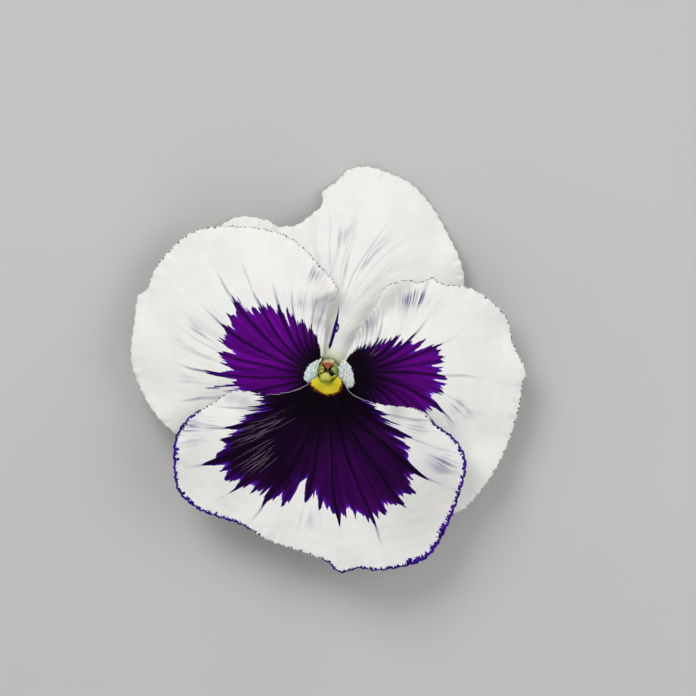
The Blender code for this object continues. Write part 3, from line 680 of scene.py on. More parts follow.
def eye_layers(finish, petal):
    """The white beside the eye, and the eye: its brown edge, its yellow, and its green at the throat."""
    ragged = finish.mottle(2600.0) - 0.5
    patch = petal.patch + ragged * 1.1
    eye = petal.eye + ragged * 1.2
    return [
        (patch.step(-0.06, 0.10), (250, 252, 240)),
        (eye.step(-0.55, -0.15), (92, 40, 6)),
        (eye.step(-0.1, 0.25), (224, 200, 44)),
        (eye.step(0.3, 2.0), (220, 216, 66)),
        (eye.step(-0.1, 0.2) * petal.reach.fall(-3.0, 0.2), (182, 196, 70)),
    ]


def dark_streak(petal, streaks):
    """Share of the one dark streak at the foot of an upper petal, with the small loop on its right."""
    along, aside = petal.along, petal.aside
    half_width = along.step(-0.02, 0.1) * along.fall(0.42, 1.08) * STREAK_HALF_WIDTH
    streak = (half_width + (streaks - 0.5) * 0.25 - aside.size()).step(-0.03, 0.06)
    streak = streak * along.step(0.0, 0.02) * along.fall(0.98, 1.0)
    wide = (aside - LOOP_MIDDLE[0]) * LOOP_SHARPNESS[0]
    high = (along - LOOP_MIDDLE[1]) * LOOP_SHARPNESS[1]
    return streak.most((high * high + wide * wide - 1.0).size().fall(0.6, 1.0))


def petal_front():
    finish = Finish("petal_front", 0.62, subsurface=0.2, specular=0.05)
    petal = petal_signals(finish)
    streaks = finish.pattern(petal.fan * 2.6, petal.reach * 0.06, 9.0, 3.0, 0.6)
    depth, points = blotch_depth(finish, petal)
    strong, thin = (68, 16, 156), (26, 14, 84)
    ink = finish.layered((42, 4, 108), (streaks.step(0.4, 0.6), strong), (petal.ink.fall(0.2, 0.4), thin))
    outermost = petal.rim.fall(0.02, 0.12) * petal.ink.step(*SOLID_INK)
    finish.paint(
        petal_white(finish, petal),
        (depth.step(-0.08, 0.12), blotch_purple(finish, petal, streaks, depth, points)),
        # painted highlight: the thin rim catching the light near the throat
        (painted_rim_highlight(petal) * 0.85, (206, 196, 214)),
        *eye_layers(finish, petal),
        (dark_streak(petal, streaks), (40, 8, 100)),
        (rim_line(finish, petal), ink),
        (outermost * 0.5, (196, 184, 228)),
    )
    grain = finish.mottle(5200.0, 1.0)
    soft = finish.pattern(petal.fan * 3.0, petal.reach * 0.35)
    finish.bump(petal.vein.step(0.0, 0.3) * 0.3 + grain * 0.3 + soft * 0.5, 0.04)
    return finish.material


def petal_back():
    """The back is paler: green at the claw, with the front's blotch showing through."""
    finish = Finish("petal_back", 0.62, subsurface=0.2, specular=0.2)
    petal = petal_signals(finish)
    cloud = finish.mottle(200.0, 3.0)
    streaks = finish.pattern(petal.fan * 4.0, petal.reach * 0.09, 9.0, 3.0, 0.65)
    shade = blotch_depth(finish, petal)[0].step(-0.5, 1.2)
    finish.paint(
        (238, 239, 232),
        (cloud.step(0.35, 0.65), (230, 232, 228)),
        (petal.dark * 0.45, (204, 208, 196)),
        (shade * 0.75, finish.mix(streaks.step(0.35, 0.65), (150, 128, 178), (178, 158, 198))),
        (shade * petal.dark * 0.6, (112, 84, 150)),
        (petal.reach.fall(-1.0, 7.0) * 0.85, (190, 204, 140)),
        (rim_line(finish, petal) * 0.8, (92, 60, 165)),
    )
    grain = finish.mottle(5200.0, 1.0)
    finish.bump(petal.vein.fall(0.0, 0.35) * 0.8 + grain * 0.35, 0.07)
    return finish.material


# Finishes of the other pieces. Their vertices carry run, the way along the piece, or its height; side, the
# way across it, or a second tint; and pale, a third one.


def plant_green(name, light, dark, tip):
    """Green of sepals and stalk, with fine streaks along the piece."""
    finish = Finish(name, 0.5, sheen=0.05, subsurface=0.1)
    run, side = finish.attribute("run"), finish.attribute("side")
    finish.paint(
        light,
        (finish.pattern(run * 0.25, side * 3.0, 0.0, 3.0, 0.6).step(0.35, 0.65), dark),
        (finish.mottle(900.0, 3.0).step(0.45, 0.75) * 0.35, light),
        (finish.attribute("pale"), tip),
    )
    finish.bump(finish.pattern(run * 1.2, side * 7.0) * 0.7 + finish.mottle(4200.0) * 0.4, 0.08)
    return finish.material


def hair_white():
    finish = Finish("beard_white", 0.5, sheen=0.5, subsurface=0.5)
    finish.paint(
        (248, 250, 234),
        (finish.attribute("run").step(0.0, 0.6), (254, 254, 250)),
        (finish.mottle(1800.0).step(0.5, 0.7) * 0.2, (232, 234, 200)),
    )
    return finish.material


def hair_grey():
    finish = Finish("hair_grey", 0.4)
    finish.paint(
        (92, 70, 98),
        (finish.attribute("run"), (160, 136, 162)),
        (finish.mottle(900.0).step(0.4, 0.6) * 0.3, (80, 64, 84)),
    )
    return finish.material


def stigma_yellow():
    """Greener toward the ovary. The globe is lighter toward its top, a painted highlight, and darker toward
    its
    bottom and in its mouth: its own olive there, deepened by painted shade.
    """
    finish = Finish("stigma_yellow", 0.35, subsurface=0.15, specular=0.5)
    finish.paint(
        (128, 150, 60),
        # on the globe: the top painted lighter as a highlight, the bottom darker, partly as painted shade
        (finish.attribute("run").step(0.0, 0.7), (196, 200, 92)),
        (finish.mottle(1500.0, 3.0).step(0.4, 0.7) * 0.4, (170, 178, 70)),
        # the mouth's hollow: its own dark olive, deepened as painted shade
        (finish.attribute("side"), (92, 96, 24)),
    )
    finish.bump(finish.mottle(5000.0), 0.03)
    return finish.material


def anther_orange():
    """Ripe anthers are cream with an orange tip, young ones green or yellow, and the specks dark,
    as painted shade of the gaps between the tips.
    """
    finish = Finish("anther_orange", 0.6)
    height, lime, ripe = (finish.attribute(name) for name in ("run", "side", "pale"))
    young = finish.mix(lime, (150, 172, 100), (204, 206, 74))
    spots = finish.mottle(1500.0, 2.0, 0.6).step(0.5, 0.62) * height.step(0.7, 0.85)
    finish.paint(
        finish.mix(ripe, young, (206, 196, 146)),
        (height.step(0.8, 0.86), finish.mix(ripe, young, (160, 70, 10))),
        (spots * 0.6, (120, 70, 26)),
        (height.fall(0.1, 0.55) * 0.6, (170, 178, 110)),
        # painted shade: the dark of the specks
        (height.step(1.4, 1.6), (44, 22, 12)),
    )
    finish.bump(finish.mottle(4500.0), 0.06)
    return finish.material


# Shapes shared with the solids


def smooth_line(points, step):
    """Points about one step apart on the Catmull-Rom curve through the given points."""
    points = np.array(points, float)
    ends = np.vstack([2 * points[0] - points[1], points, 2 * points[-1] - points[-2]])
    found = []
    for before, start, end, after in zip(ends, ends[1:], ends[2:], ends[3:]):
        count = max(1, round(float(np.linalg.norm(end - start)) / step))
        for t in np.arange(count) / count:
            found.append(
                0.5 * (2 * start + (end - before) * t
                       + (2 * before - 5 * start + 4 * end - after) * t**2
                       + (3 * start - before - 3 * end + after) * t**3)
            )
    return np.array([*found, points[-1]])


def smooth_step(value):
    value = np.clip(value, 0.0, 1.0)
    return value * value * (3 - 2 * value)


def fall_between(value, ends):
    """1 up to the first end, 0 from the second on, and smooth between them."""
    return smooth_step((ends[1] - value) / (ends[1] - ends[0]))


def travelled(line):
    """How far along a line each of its points lies."""
    return np.concatenate([[0], np.cumsum(np.linalg.norm(np.diff(line, axis=0), axis=1))])


def closed_line(outline):
    """The smooth closed line through the points of a mark's outline."""
    return smooth_line([*outline, outline[0]], MARK_STEP)


def claw_lengths(petal):
    """Length of the claw's upright part, and of its bend."""
    return petal["level"] - petal["bend"] - CLAW_FOOT, petal["bend"] * math.pi / 2


def blade_start(petal):
    """Distance from the drawing's middle at which the blade begins."""
    return petal["ring"] + sum(claw_lengths(petal))


def blade_distance(petal, radius):
    """How far along the blade a point at that distance from the receptacle's axis lies."""
    return np.maximum(radius - petal["ring"] - petal["bend"], 0.0)


def flatten(petal, plan):
    """Where points of the blade, seen from above, lie in the flat drawing."""
    upright = claw_lengths(petal)[0]
    offset = plan - CENTRE
    radius = np.linalg.norm(offset, axis=1)
    turn = np.arccos(np.clip(1 - (radius - petal["ring"]) / petal["bend"], 0.0, 1.0))
    drawn = petal["ring"] + upright + petal["bend"] * turn + blade_distance(petal, radius)
    return offset / radius[:, None] * drawn[:, None]


def lift(petal, flat):
    """The flat drawing bent into claw and blade: points in millimetres, with the blade still level."""
    upright, arc = claw_lengths(petal)
    bend = petal["bend"]
    radius = np.linalg.norm(flat, axis=1)
    along = radius - petal["ring"]
    turn = np.clip((along - upright) / bend, 0.0, math.pi / 2)
    beyond = np.maximum(along - upright - arc, 0.0)
    out = petal["ring"] + bend * (1 - np.cos(turn)) + beyond
    height = CLAW_FOOT + np.minimum(along, upright) + bend * np.sin(turn)
    plan = CENTRE + flat / radius[:, None] * out[:, None]
    return np.column_stack([plan, height])


def nearest_on(points, line):
    """For each point, the nearest point of the line: its distance and its number."""
    distances, numbers = [], []
    for start in range(0, len(points), CHUNK):
        gaps = np.linalg.norm(points[start:start + CHUNK, None, :2] - line[None, :, :2], axis=2)
        numbers.append(gaps.argmin(axis=1))
        distances.append(gaps.min(axis=1))
    return np.concatenate(distances), np.concatenate(numbers)


def mound(points, x, y, radius):
    """A round bump of height 1."""
    return np.exp(-(((points[:, 0] - x) ** 2 + (points[:, 1] - y) ** 2) / radius**2))


def lip(petal, points, angle, beyond):
    """How far the lower petal's margins stand over its middle groove."""
    off_middle = np.abs(np.degrees(angle) + 90)
    share = smooth_step((off_middle - GROOVE_HALF_ANGLE) / (LIP_HALF_ANGLE - GROOVE_HALF_ANGLE))
    above_claw = smooth_step(1 + (points[:, 2] - petal["level"]) / petal["bend"])
    return LIP_RISE * share * above_claw * fall_between(beyond, LIP_FADE)


def crease(points, start, end, rise, width, fade):
    """A fold: the blade stands higher on the left of a line, and sinks back over some distance."""
    start, line = np.array(start), np.array(end) - np.array(start)
    length = np.linalg.norm(line)
    offset = points[:, :2] - start
    along = offset @ line / length**2
    beyond = (line[0] * offset[:, 1] - line[1] * offset[:, 0]) / length
    between = smooth_step(along / CREASE_START) * fall_between(along, CREASE_END)
    raised = smooth_step(beyond / width + 0.5) * np.exp(-((np.maximum(beyond, 0) / fade) ** 2))
    return rise * raised * between


def relief(name, petal, points, rim_distance):
    """Height added to the level blade: its fall, its flutter, its swells, and the lip or beard."""
    offset = points[:, :2] - CENTRE
    beyond = blade_distance(petal, np.linalg.norm(offset, axis=1))
    angle = np.arctan2(offset[:, 1], offset[:, 0])
    height = -petal["slope"] * beyond - petal["curve"] * beyond**2
    near_rim = np.exp(-((rim_distance / FLUTTER_REACH) ** 2))
    waves = sum(rise * np.sin(count * angle + phase) for rise, count, phase in petal["flutters"])
    height += waves * near_rim * smooth_step(beyond / FLUTTER_START)
    for x, y, radius, rise in petal["swells"]:
        height += rise * mound(points, x, y, radius) * smooth_step(beyond / SWELL_START)
    if name in CREASES:
        height += crease(points, *CREASES[name])
    if name == "petal_lower":
        height += lip(petal, points, angle, beyond)
    if name in BEARDS:
        height += BEARD_HEIGHT * mound(points, *BEARDS[name], BEARD_RADIUS)
    return height


def lay_on_table(points):
    """Lowers the far part of a petal until its lowest point is half a thickness over the table."""
    distance = np.linalg.norm(points[:, :2] - CENTRE, axis=1)
    drop = points[:, 2].min() - PETAL_THICKNESS / 2
    points[:, 2] -= drop * smooth_step((distance - TABLE_START) / (TABLE_END - TABLE_START))


def petal_outline(petal):
    """The closed outline in the flat drawing: claw foot, one margin, the rim, and the other margin."""
    blade = nicked(flatten(petal, smooth_line(petal["outline"], RIM_STEP)))
    first, last = (math.radians(a) for a in petal["claw"])
    if blade[0][0] * blade[-1][1] < blade[0][1] * blade[-1][0]:
        first, last = last, first
    feet = np.linspace(last, first, 2 + round(abs(last - first) * petal["ring"] / (2 * CLAW_STEP)))[1:-1]
    foot = petal["ring"] * np.column_stack([np.cos(feet), np.sin(feet)])
    up = claw_margin(petal, first, blade[0])
    down = claw_margin(petal, last, blade[-1])
    return np.vstack([foot, up, blade, down[::-1]])


def claw_margin(petal, angle, blade_end):
    """One margin of the claw, straight up to its top and then round the throat to the blade's outline."""
    top = petal["ring"] + claw_lengths(petal)[0]
    straight = [(r, angle) for r in np.arange(petal["ring"], top, CLAW_STEP)]
    radius, turn = np.linalg.norm(blade_end), math.atan2(blade_end[1], blade_end[0])
    swing = (turn - angle + math.pi) % (2 * math.pi) - math.pi
    count = math.ceil(max(abs(swing) * petal["ring"], radius - top) / CLAW_STEP)
    round_throat = [(top + (radius - top) * k / count, angle + swing * k / count) for k in range(count)]
    return np.array([(r * math.cos(a), r * math.sin(a)) for r, a in straight + round_throat])


def nicked(line):
    """The rim with small nicks and bumps across it, none at its two ends."""
    ahead = np.gradient(line, axis=0)
    ahead /= np.linalg.norm(ahead, axis=1)[:, None]
    outward = np.column_stack([ahead[:, 1], -ahead[:, 0]])
    travel = travelled(line)
    depth = sum(
        deep * np.sin(2 * math.pi * travel / length + phase * (1 + travel / NICK_DRIFT))
        for deep, length, phase in RIM_NICKS
    )
    ends = smooth_step(travel / NICK_START) * smooth_step((travel[-1] - travel) / NICK_START)
    return line + outward * (depth * ends)[:, None]


def claw_points(petal):
    """Points on arcs close together, for the claw and its bend in the flat drawing."""
    top = petal["ring"] + claw_lengths(petal)[0]
    first, last = (math.radians(a) for a in petal["claw"])
    found = []
    for radius in np.arange(petal["ring"] + CLAW_STEP, blade_start(petal) + 2 * CLAW_STEP, CLAW_STEP):
        half = math.pi if radius > top else (last - first) / 2
        count = max(1, round(2 * half * radius / (1.4 * CLAW_STEP)))
        for step in range(count):
            angle = (first + last) / 2 + half * (2 * (step + 0.5) / count - 1)
            found.append((radius * math.cos(angle), radius * math.sin(angle)))
    return np.array(found)


def blade_points(petal, outline):
    """Points of a triangular grid over the blade in the flat drawing."""
    low, high = outline.min(axis=0), outline.max(axis=0)
    row_height = BLADE_STEP * math.sqrt(3) / 2
    found = []
    for row, y in enumerate(np.arange(low[1], high[1], row_height)):
        for x in np.arange(low[0] + BLADE_STEP / 2 * (row % 2), high[0], BLADE_STEP):
            if math.hypot(x, y) > blade_start(petal) + 3 * CLAW_STEP:
                found.append((x, y))
    return np.array(found)


def within(points, outline, margin):
    """The points that lie inside the outline and further than the margin from it."""
    return points[(nearest_on(points, outline)[0] > margin) & inside(points, outline)]


def inside(points, outline):
    """Which points lie within the closed outline, by counting the edges that a ray crosses."""
    x0, y0 = outline[:, 0], outline[:, 1]
    x1, y1 = np.roll(x0, -1), np.roll(y0, -1)
    rise = np.where(y1 == y0, 1.0, y1 - y0)
    found = []
    for start in range(0, len(points), CHUNK):
        x, y = (points[start:start + CHUNK, axis, None] for axis in (0, 1))
        crosses = ((y0 > y) != (y1 > y)) & (x < (x1 - x0) * (y - y0) / rise + x0)
        found.append(crosses.sum(axis=1) % 2 == 1)
    return np.concatenate(found)


def depth_inside(points, outline, span):
    """How far inside a mark's outline each point lies, below 0 outside, and never beyond the span."""
    if outline is None:
        return np.full(len(points), -BLOTCH_SPAN)
    line = closed_line(outline)
    gap = nearest_on(points, line)[0]
    return np.clip(np.where(inside(points, line), gap, -gap), -span, span)


def around(name, plan):
    """Angle of each place from the petal's straight vein, seen from above, and distance from the axis."""
    offset = plan - CENTRE
    angle = np.arctan2(offset[:, 1], offset[:, 0]) - math.radians(VEIN_FANS[name][0])
    return (angle + math.pi) % (2 * math.pi) - math.pi, np.linalg.norm(offset, axis=1)


def fan_width(name, radius):
    """How far the veins have spread at a distance from the axis."""
    return ((1 + VEIN_BEND * radius) / (1 + VEIN_BEND * VEIN_MIDDLE)) ** VEIN_FANS[name][1]


def vein_course(name, plan):
    """Directions in which the veins run, seen from above."""
    angle, radius = around(name, plan)
    lean = np.arctan(VEIN_FANS[name][1] * VEIN_BEND * radius / (1 + VEIN_BEND * radius) * angle)
    course = angle + math.radians(VEIN_FANS[name][0]) + lean
    return np.column_stack([np.cos(course), np.sin(course)])


def facing_outward(name, points):
    """1 where the nearest stretch of the blotch's outline crosses the veins, less where it follows them."""
    if name not in BLOTCHES:
        return np.zeros(len(points))
    line = closed_line(BLOTCHES[name])
    ahead = np.gradient(line, axis=0)
    ahead = sum(np.roll(ahead, shift, axis=0) for shift in range(-4, 5))
    ahead /= np.linalg.norm(ahead, axis=1)[:, None]
    outward = vein_course(name, line)
    crossing = np.abs(ahead[:, 0] * outward[:, 1] - ahead[:, 1] * outward[:, 0])
    far_out = smooth_step((np.linalg.norm(line - CENTRE, axis=1) - 4) / 12)
    return ((0.3 + 0.7 * crossing) * (0.15 + 0.85 * far_out))[nearest_on(points, line)[1]]


# Meshes


def two_faced(points, faces, thickness, values):
    """A thin closed blade round a middle surface: points, faces, values, and how many faces are in front."""
    points, faces = np.array(points), np.array(faces)
    corners = points[faces]
    cross = np.cross(corners[:, 1] - corners[:, 0], corners[:, 2] - corners[:, 0])
    normals = np.zeros_like(points)
    for corner in range(3):
        np.add.at(normals, faces[:, corner], cross)
    normals /= np.linalg.norm(normals, axis=1)[:, None]
    half = normals * (np.broadcast_to(thickness, len(points)) / 2)[:, None]
    edges = np.vstack([faces[:, [0, 1]], faces[:, [1, 2]], faces[:, [2, 0]]])
    codes = edges[:, 0].astype(np.int64) * len(points) + edges[:, 1]
    back_codes = edges[:, 1].astype(np.int64) * len(points) + edges[:, 0]
    open_edges = edges[~np.isin(codes, back_codes)]
    a, b = open_edges[:, 0], open_edges[:, 1]
    count = len(points)
    walls = np.vstack([
        np.column_stack([a, a + count, b + count]),
        np.column_stack([a, b + count, b]),
    ])
    everything = np.vstack([faces, walls, faces[:, ::-1] + count])
    values = {key: np.tile(numbers, 2) for key, numbers in values.items()}
    return np.vstack([points + half, points - half]), everything, values, len(faces) + len(walls)


def put(name, data):
    """A new object in the scene."""
    made = bpy.data.objects.new(name, data)
    bpy.context.scene.collection.objects.link(made)
    return made


def make_piece(name, points, faces, materials, replaces, values, back_from=None):
    """An object from points in millimetres, with the values that its vertices carry."""
    mesh = bpy.data.meshes.new(name)
    mesh.from_pydata((np.array(points) * MM).tolist(), [], [list(map(int, face)) for face in faces])
    for material in materials:
        mesh.materials.append(material)
    if back_from is not None:
        sides = np.zeros(len(faces), np.int32)
        sides[back_from:] = 1
        mesh.polygons.foreach_set("material_index", sides)
    for key, numbers in values.items():
        attribute = mesh.attributes.new(key, "FLOAT", "POINT")
        attribute.data.foreach_set("value", np.asarray(numbers, np.float32))
    mesh.shade_smooth()
    mesh.update()
    piece = put(name, mesh)
    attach(piece, "root")
    if replaces:
        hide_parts(replaces)
    return piece


def strengths(points, patches):
    """Sum of soft round patches."""
    total = np.zeros(len(points))
    for (x, y), radius, strength in patches:
        total += strength * mound(points, x, y, radius)
    return total


def ink_widths(name, outline, petal):
    """Width of the rim's line at each point of the outline."""
    if name not in RIM_INK:
        return np.zeros(len(outline))
    anchors = flatten(petal, np.array([place for place, _ in RIM_INK[name]], float))
    places = nearest_on(anchors, outline)[1]
    order = np.argsort(places)
    widths = np.array([width for _, width in RIM_INK[name]])
    return np.interp(np.arange(len(outline)), places[order], widths[order])


def beside_streak(name, points):
    """Where points lie beside the dark streak: share of its length, and millimetres to its right."""
    line = STREAK_END - STREAK_START
    length = np.linalg.norm(line)
    offset = points[:, :2] - STREAK_START
    along = offset @ line / length**2
    aside = (offset[:, 0] * line[1] - offset[:, 1] * line[0]) / length
    if name != STREAKED:
        aside = aside + FAR_ASIDE
    return along, aside - STREAK_BOW * np.sin(np.clip(along, 0, 1) * math.pi)


def petal_values(name, petal, flat, points, outline):
    """What the petal's vertices carry for its finish."""
    angle, radius = around(name, points[:, :2])
    width = fan_width(name, radius)
    reach = np.linalg.norm(flat, axis=1) - blade_start(petal)
    rim, nearest = nearest_on(flat, outline)
    start, end, least = DUSK.get(name, NO_DUSK)
    light = (1 - least) * (1 - fall_between(reach, (start, end)))
    along, aside = beside_streak(name, points)
    return {
        "fan": angle / width * VEINS_PER_RADIAN + FIRST_VEIN + VEIN_SHIFT * list(PETALS).index(name),
        "spread": radius * width,
        "reach": reach,
        "rim": rim,
        "edge": travelled(outline)[nearest],
        "ink": ink_widths(name, outline, petal)[nearest],
        "blotch": depth_inside(points, BLOTCHES.get(name), BLOTCH_SPAN),
        "facing": facing_outward(name, points),
        "patch": depth_inside(points, PATCHES.get(name), MARK_SPAN),
        "eye": depth_inside(points, EYES.get(name), MARK_SPAN),
        "dusk": 1 - light * np.exp(-strengths(points, SHADES.get(name, []))),
        "smudge": np.minimum(strengths(points, SMUDGES.get(name, [])), SMUDGE_LIMIT),
        # strength of the grey painted shade
        "haze": strengths(points, PAINTED_SHADES.get(name, [])),
        "aside": aside,
        "along": along,
    }


def fine_relief(values):
    """Small folds along the veins, quilting between them, and the crimped rim."""
    fan, reach, rim, edge = (values[key] for key in ("fan", "reach", "rim", "edge"))
    out = smooth_step(reach / 8)
    folds = np.sin(2 * math.pi * fan) * 0.6 + np.sin(2 * math.pi * 0.53 * fan + 1.0 + reach * 0.05)
    bent = 2.1 * np.sin(fan * 2.3)
    quilt = np.sin(2 * math.pi * reach / QUILT_LENGTH + bent) * np.sin(fan * 4.1 + reach * 0.11)
    sway = np.sin(edge / 7.0) * 1.3
    crimp = np.sin(2 * math.pi * edge / CRIMP_LENGTH + sway)
    crimp += 0.5 * np.sin(2 * math.pi * edge / FINE_CRIMP_LENGTH + 2 * sway)
    strength = 0.6 + 0.4 * np.sin(edge / 5.3)
    near_rim = np.exp(-((rim / CRIMP_REACH) ** 2))
    height = FOLD_HEIGHT * folds * out * (1 - 0.5 * near_rim) + QUILT_HEIGHT * quilt * out
    return height + CRIMP_HEIGHT * crimp * strength * near_rim * out


def make_petal(name, petal, materials):
    outline = petal_outline(petal)
    claw = within(claw_points(petal), outline, RIM_CLEARANCE * CLAW_STEP)
    blade = within(blade_points(petal, outline), outline, RIM_CLEARANCE * BLADE_STEP)
    drawing = [Vector(p) for p in np.vstack([outline, claw, blade])]
    flat, _, faces, *_ = delaunay_2d_cdt(drawing, [], [list(range(len(outline)))], 1, 1e-6)
    flat = np.array([tuple(p) for p in flat])
    points = lift(petal, flat)
    plan_rim = lift(petal, outline)
    points[:, 2] += relief(name, petal, points, nearest_on(points, plan_rim)[0])
    values = petal_values(name, petal, flat, points, outline)
    points[:, 2] += fine_relief(values)
    if name in ON_TABLE:
        lay_on_table(points)
    thickness = PETAL_EDGE + (PETAL_THICKNESS - PETAL_EDGE) * smooth_step(values["rim"] / EDGE_WIDTH)
    points, faces, values, back_from = two_faced(points, faces, thickness, values)
    if name == "petal_lower":
        points, faces, values = with_spur(points, faces, values)
    return make_piece(name + "_blade", points, faces, materials, name, values, back_from)


def with_spur(points, faces, values):
    """The lower petal with its nectar spur, which takes the finish of the petal's back."""
    axis = smooth_line(SPUR_AXIS, SPUR_STEP)
    steps = np.linspace(0, 1, len(axis))
    radii = np.interp(steps, np.linspace(0, 1, len(SPUR_RADII)), SPUR_RADII)
    spur, spur_faces = sweep(axis, radii, SPUR_SIDES, (0, 1, 0))
    extra = {key: np.full(len(spur), numbers.min()) for key, numbers in values.items()}
    extra["fan"] = np.tile(np.arange(SPUR_SIDES) * 0.5, len(axis))
    extra["spread"] = np.full(len(spur), 10.0)
    extra["reach"] = np.repeat(6.0 - 5.0 * steps, SPUR_SIDES)
    extra["rim"] = np.full(len(spur), 9.0)
    extra["ink"] = np.zeros(len(spur))
    extra["aside"] = np.full(len(spur), FAR_ASIDE)
    joined = {key: np.concatenate([numbers, extra[key]]) for key, numbers in values.items()}
    moved = [tuple(int(v) + len(points) for v in face) for face in spur_faces]
    return np.vstack([points, spur]), [*faces.tolist(), *moved], joined


def sweep(path, radii, sides, start_up=(0, 0, 1), slant=0.0, ridge=0.0, ridges=1):
    """Triangles in rings round a path, closed at both ends, with ridges that run along it."""
    path = np.array(path, float)
    tangents = np.gradient(path, axis=0)
    tangents /= np.linalg.norm(tangents, axis=1)[:, None]
    up = np.array(start_up, float)
    points = []
    for place, tangent, radius in zip(path, tangents, radii):
        up = up - tangent * (up @ tangent)
        up /= np.linalg.norm(up)
        side = np.cross(tangent, up)
        for step in range(sides):
            turn = 2 * math.pi * (step + 0.5) / sides
            out = radius * (1 - ridge + ridge * math.cos(ridges * turn))
            points.append(place + out * (math.cos(turn) * up + math.sin(turn) * side))
    points = np.array(points)
    points[:sides] += tangents[0] * (points[:sides, 2] * slant)[:, None]
    faces = []
    for ring in range(len(path) - 1):
        for step in range(sides):
            a, b = ring * sides + step, ring * sides + (step + 1) % sides
            faces += [(a, b, b + sides), (a, b + sides, a + sides)]
    last = (len(path) - 1) * sides
    faces.append(tuple(reversed(range(sides))))
    faces.append(tuple(range(last, last + sides)))
    return points, faces


def grid_faces(rows, columns):
    """Triangles over rows of points."""
    faces = []
    for row in range(rows - 1):
        for column in range(columns - 1):
            a = row * columns + column
            faces += [(a, a + columns, a + columns + 1), (a, a + columns + 1, a + 1)]
    return faces


def join(parts):
    """Several meshes as one: lists of points, faces and values."""
    points, faces, values = [], [], {}
    for part_points, part_faces, part_values in parts:
        faces += [tuple(int(v) + len(points) for v in face) for face in part_faces]
        points += [tuple(p) for p in part_points]
        for key, numbers in part_values.items():
            values.setdefault(key, []).extend(numbers)
    return points, faces, values


# The middle of the bloom


def make_beard(name, petal_name, surface, material):
    """Short soft hairs that stand on a side petal beside the eye and lean in over it."""
    draw = random.Random(petal_name)
    patch = np.array(PATCHES[petal_name])
    low, high = patch.min(axis=0), patch.max(axis=0)
    parts = []
    while len(parts) < HAIRS:
        spot = np.array([[draw.uniform(low[0], high[0]), draw.uniform(low[1], high[1])]])
        if depth_inside(spot, patch, MARK_SPAN)[0] < 0.05:
            continue
        hit, normal, *_ = surface.ray_cast(Vector((*spot[0], 20.0)), Vector((0, 0, -1)))
        if hit is None or hit.z < HAIR_FLOOR:
            continue
        inward = Vector((STIGMA_CENTRE[0] - hit.x, STIGMA_CENTRE[1] - hit.y, 0)).normalized()
        stray = Vector([draw.uniform(-HAIR_STRAY, HAIR_STRAY) for _ in range(3)])
        out, up, most_inward = HAIR_LEAN
        lean = normal * out + Vector((0, 0, up)) + inward * draw.uniform(0.0, most_inward) + stray
        lean.normalize()
        length = draw.uniform(*HAIR_LENGTH)
        parts.append(hair(hit - lean * 0.08, lean, inward, length))
    points, faces, values = join(parts)
    return make_piece(name, points, faces, [material], None, values)


def hair(root, lean, inward, length):
    """One hair: thickest toward its round tip, and bent inward a little."""
    radii = [HAIR_RADIUS * wide for wide in HAIR_SWELLING]
    path = [root + lean * length * share + inward * HAIR_BEND * length * share**2 for share in HAIR_SHARES]
    up = lean.orthogonal()
    points, faces = sweep([tuple(p) for p in path], radii, HAIR_SIDES, tuple(up))
    return points, faces, {"run": np.repeat(HAIR_SHARES, HAIR_SIDES)}


def make_lying_hairs(surfaces, material):
    """Long fine hairs that lie along the veins, each with both ends on the petal."""
    draw = random.Random("lying")
    parts = []
    for name, middle, radius, count in LYING_HAIRS:
        for _ in range(count):
            turn, out = draw.uniform(0, 2 * math.pi), radius * math.sqrt(draw.random())
            place = np.array([[middle[0] + out * math.cos(turn), middle[1] + out * math.sin(turn)]])
            length = draw.uniform(*LYING_LENGTH) * min(1.0, radius / 2)
            stray = draw.uniform(-LYING_STRAY, LYING_STRAY)
            ahead = vein_course(name, place)[0]
            ahead = ahead + stray * np.array([-ahead[1], ahead[0]])
            path = []
            for share in np.linspace(0, 1, len(LYING_TAPER)):
                x, y = place[0] + ahead * length * (share - 0.5)
                ground = surfaces[name].ray_cast(Vector((x, y, 30.0)), Vector((0, 0, -1)))[0]
                path.append((x, y, ground.z + LYING_ARCH * math.sin(math.pi * share)))
            points, faces = sweep(path, LYING_RADIUS * LYING_TAPER, LYING_SIDES)
            parts.append((points, faces, {"run": np.full(len(points), draw.random())}))
    points, faces, values = join(parts)
    return make_piece("lying_hairs", points, faces, [material], None, values)


def column_axis(height):
    """The bent line on which the ovary, the stamens and the style stand."""
    share = min(1.0, (height - CLAW_FOOT) / (STYLE_TOP - CLAW_FOOT))
    return CENTRE + (np.array(STIGMA_CENTRE[:2]) - CENTRE) * share**2.5


def make_pistil(material):
    """Ovary and style, and the round stigma with its open mouth toward the lower petal."""
    shape = smooth_line(OVARY, 0.2)
    path = [(*column_axis(height), height) for height, _ in shape]
    points, faces = sweep(path, shape[:, 1], PISTIL_SIDES, (0, 1, 0))
    style = (points, faces, {"run": (points[:, 2] - CLAW_FOOT) / 9.0, "side": np.zeros(len(points))})
    centre = np.array(STIGMA_CENTRE)
    angles = np.radians(np.arange(4, 180, 4.5))
    path = [centre - (0, 0, STIGMA_RADIUS * math.cos(angle)) for angle in angles]
    points, faces = sweep(path, STIGMA_RADIUS * np.sin(angles), PISTIL_SIDES, (0, 1, 0))
    direction, radius, depth = STIGMA_DENT
    mouth = centre + np.array(direction.normalized()) * STIGMA_RADIUS
    close = np.exp(-((np.linalg.norm(points - mouth, axis=1) / radius) ** 2))
    points = points + (centre - points) * (depth * close)[:, None]
    # run rises toward the globe's top, which is painted lighter as a highlight; side marks the mouth's
    # hollow, painted dark, partly as painted shade
    globe = (points, faces, {"run": 0.6 + 0.4 * (points[:, 2] - centre[2]) / STIGMA_RADIUS, "side": close})
    points, faces, values = join([style, globe])
    return make_piece("pistil_fine", points, faces, [material], "pistil", values)


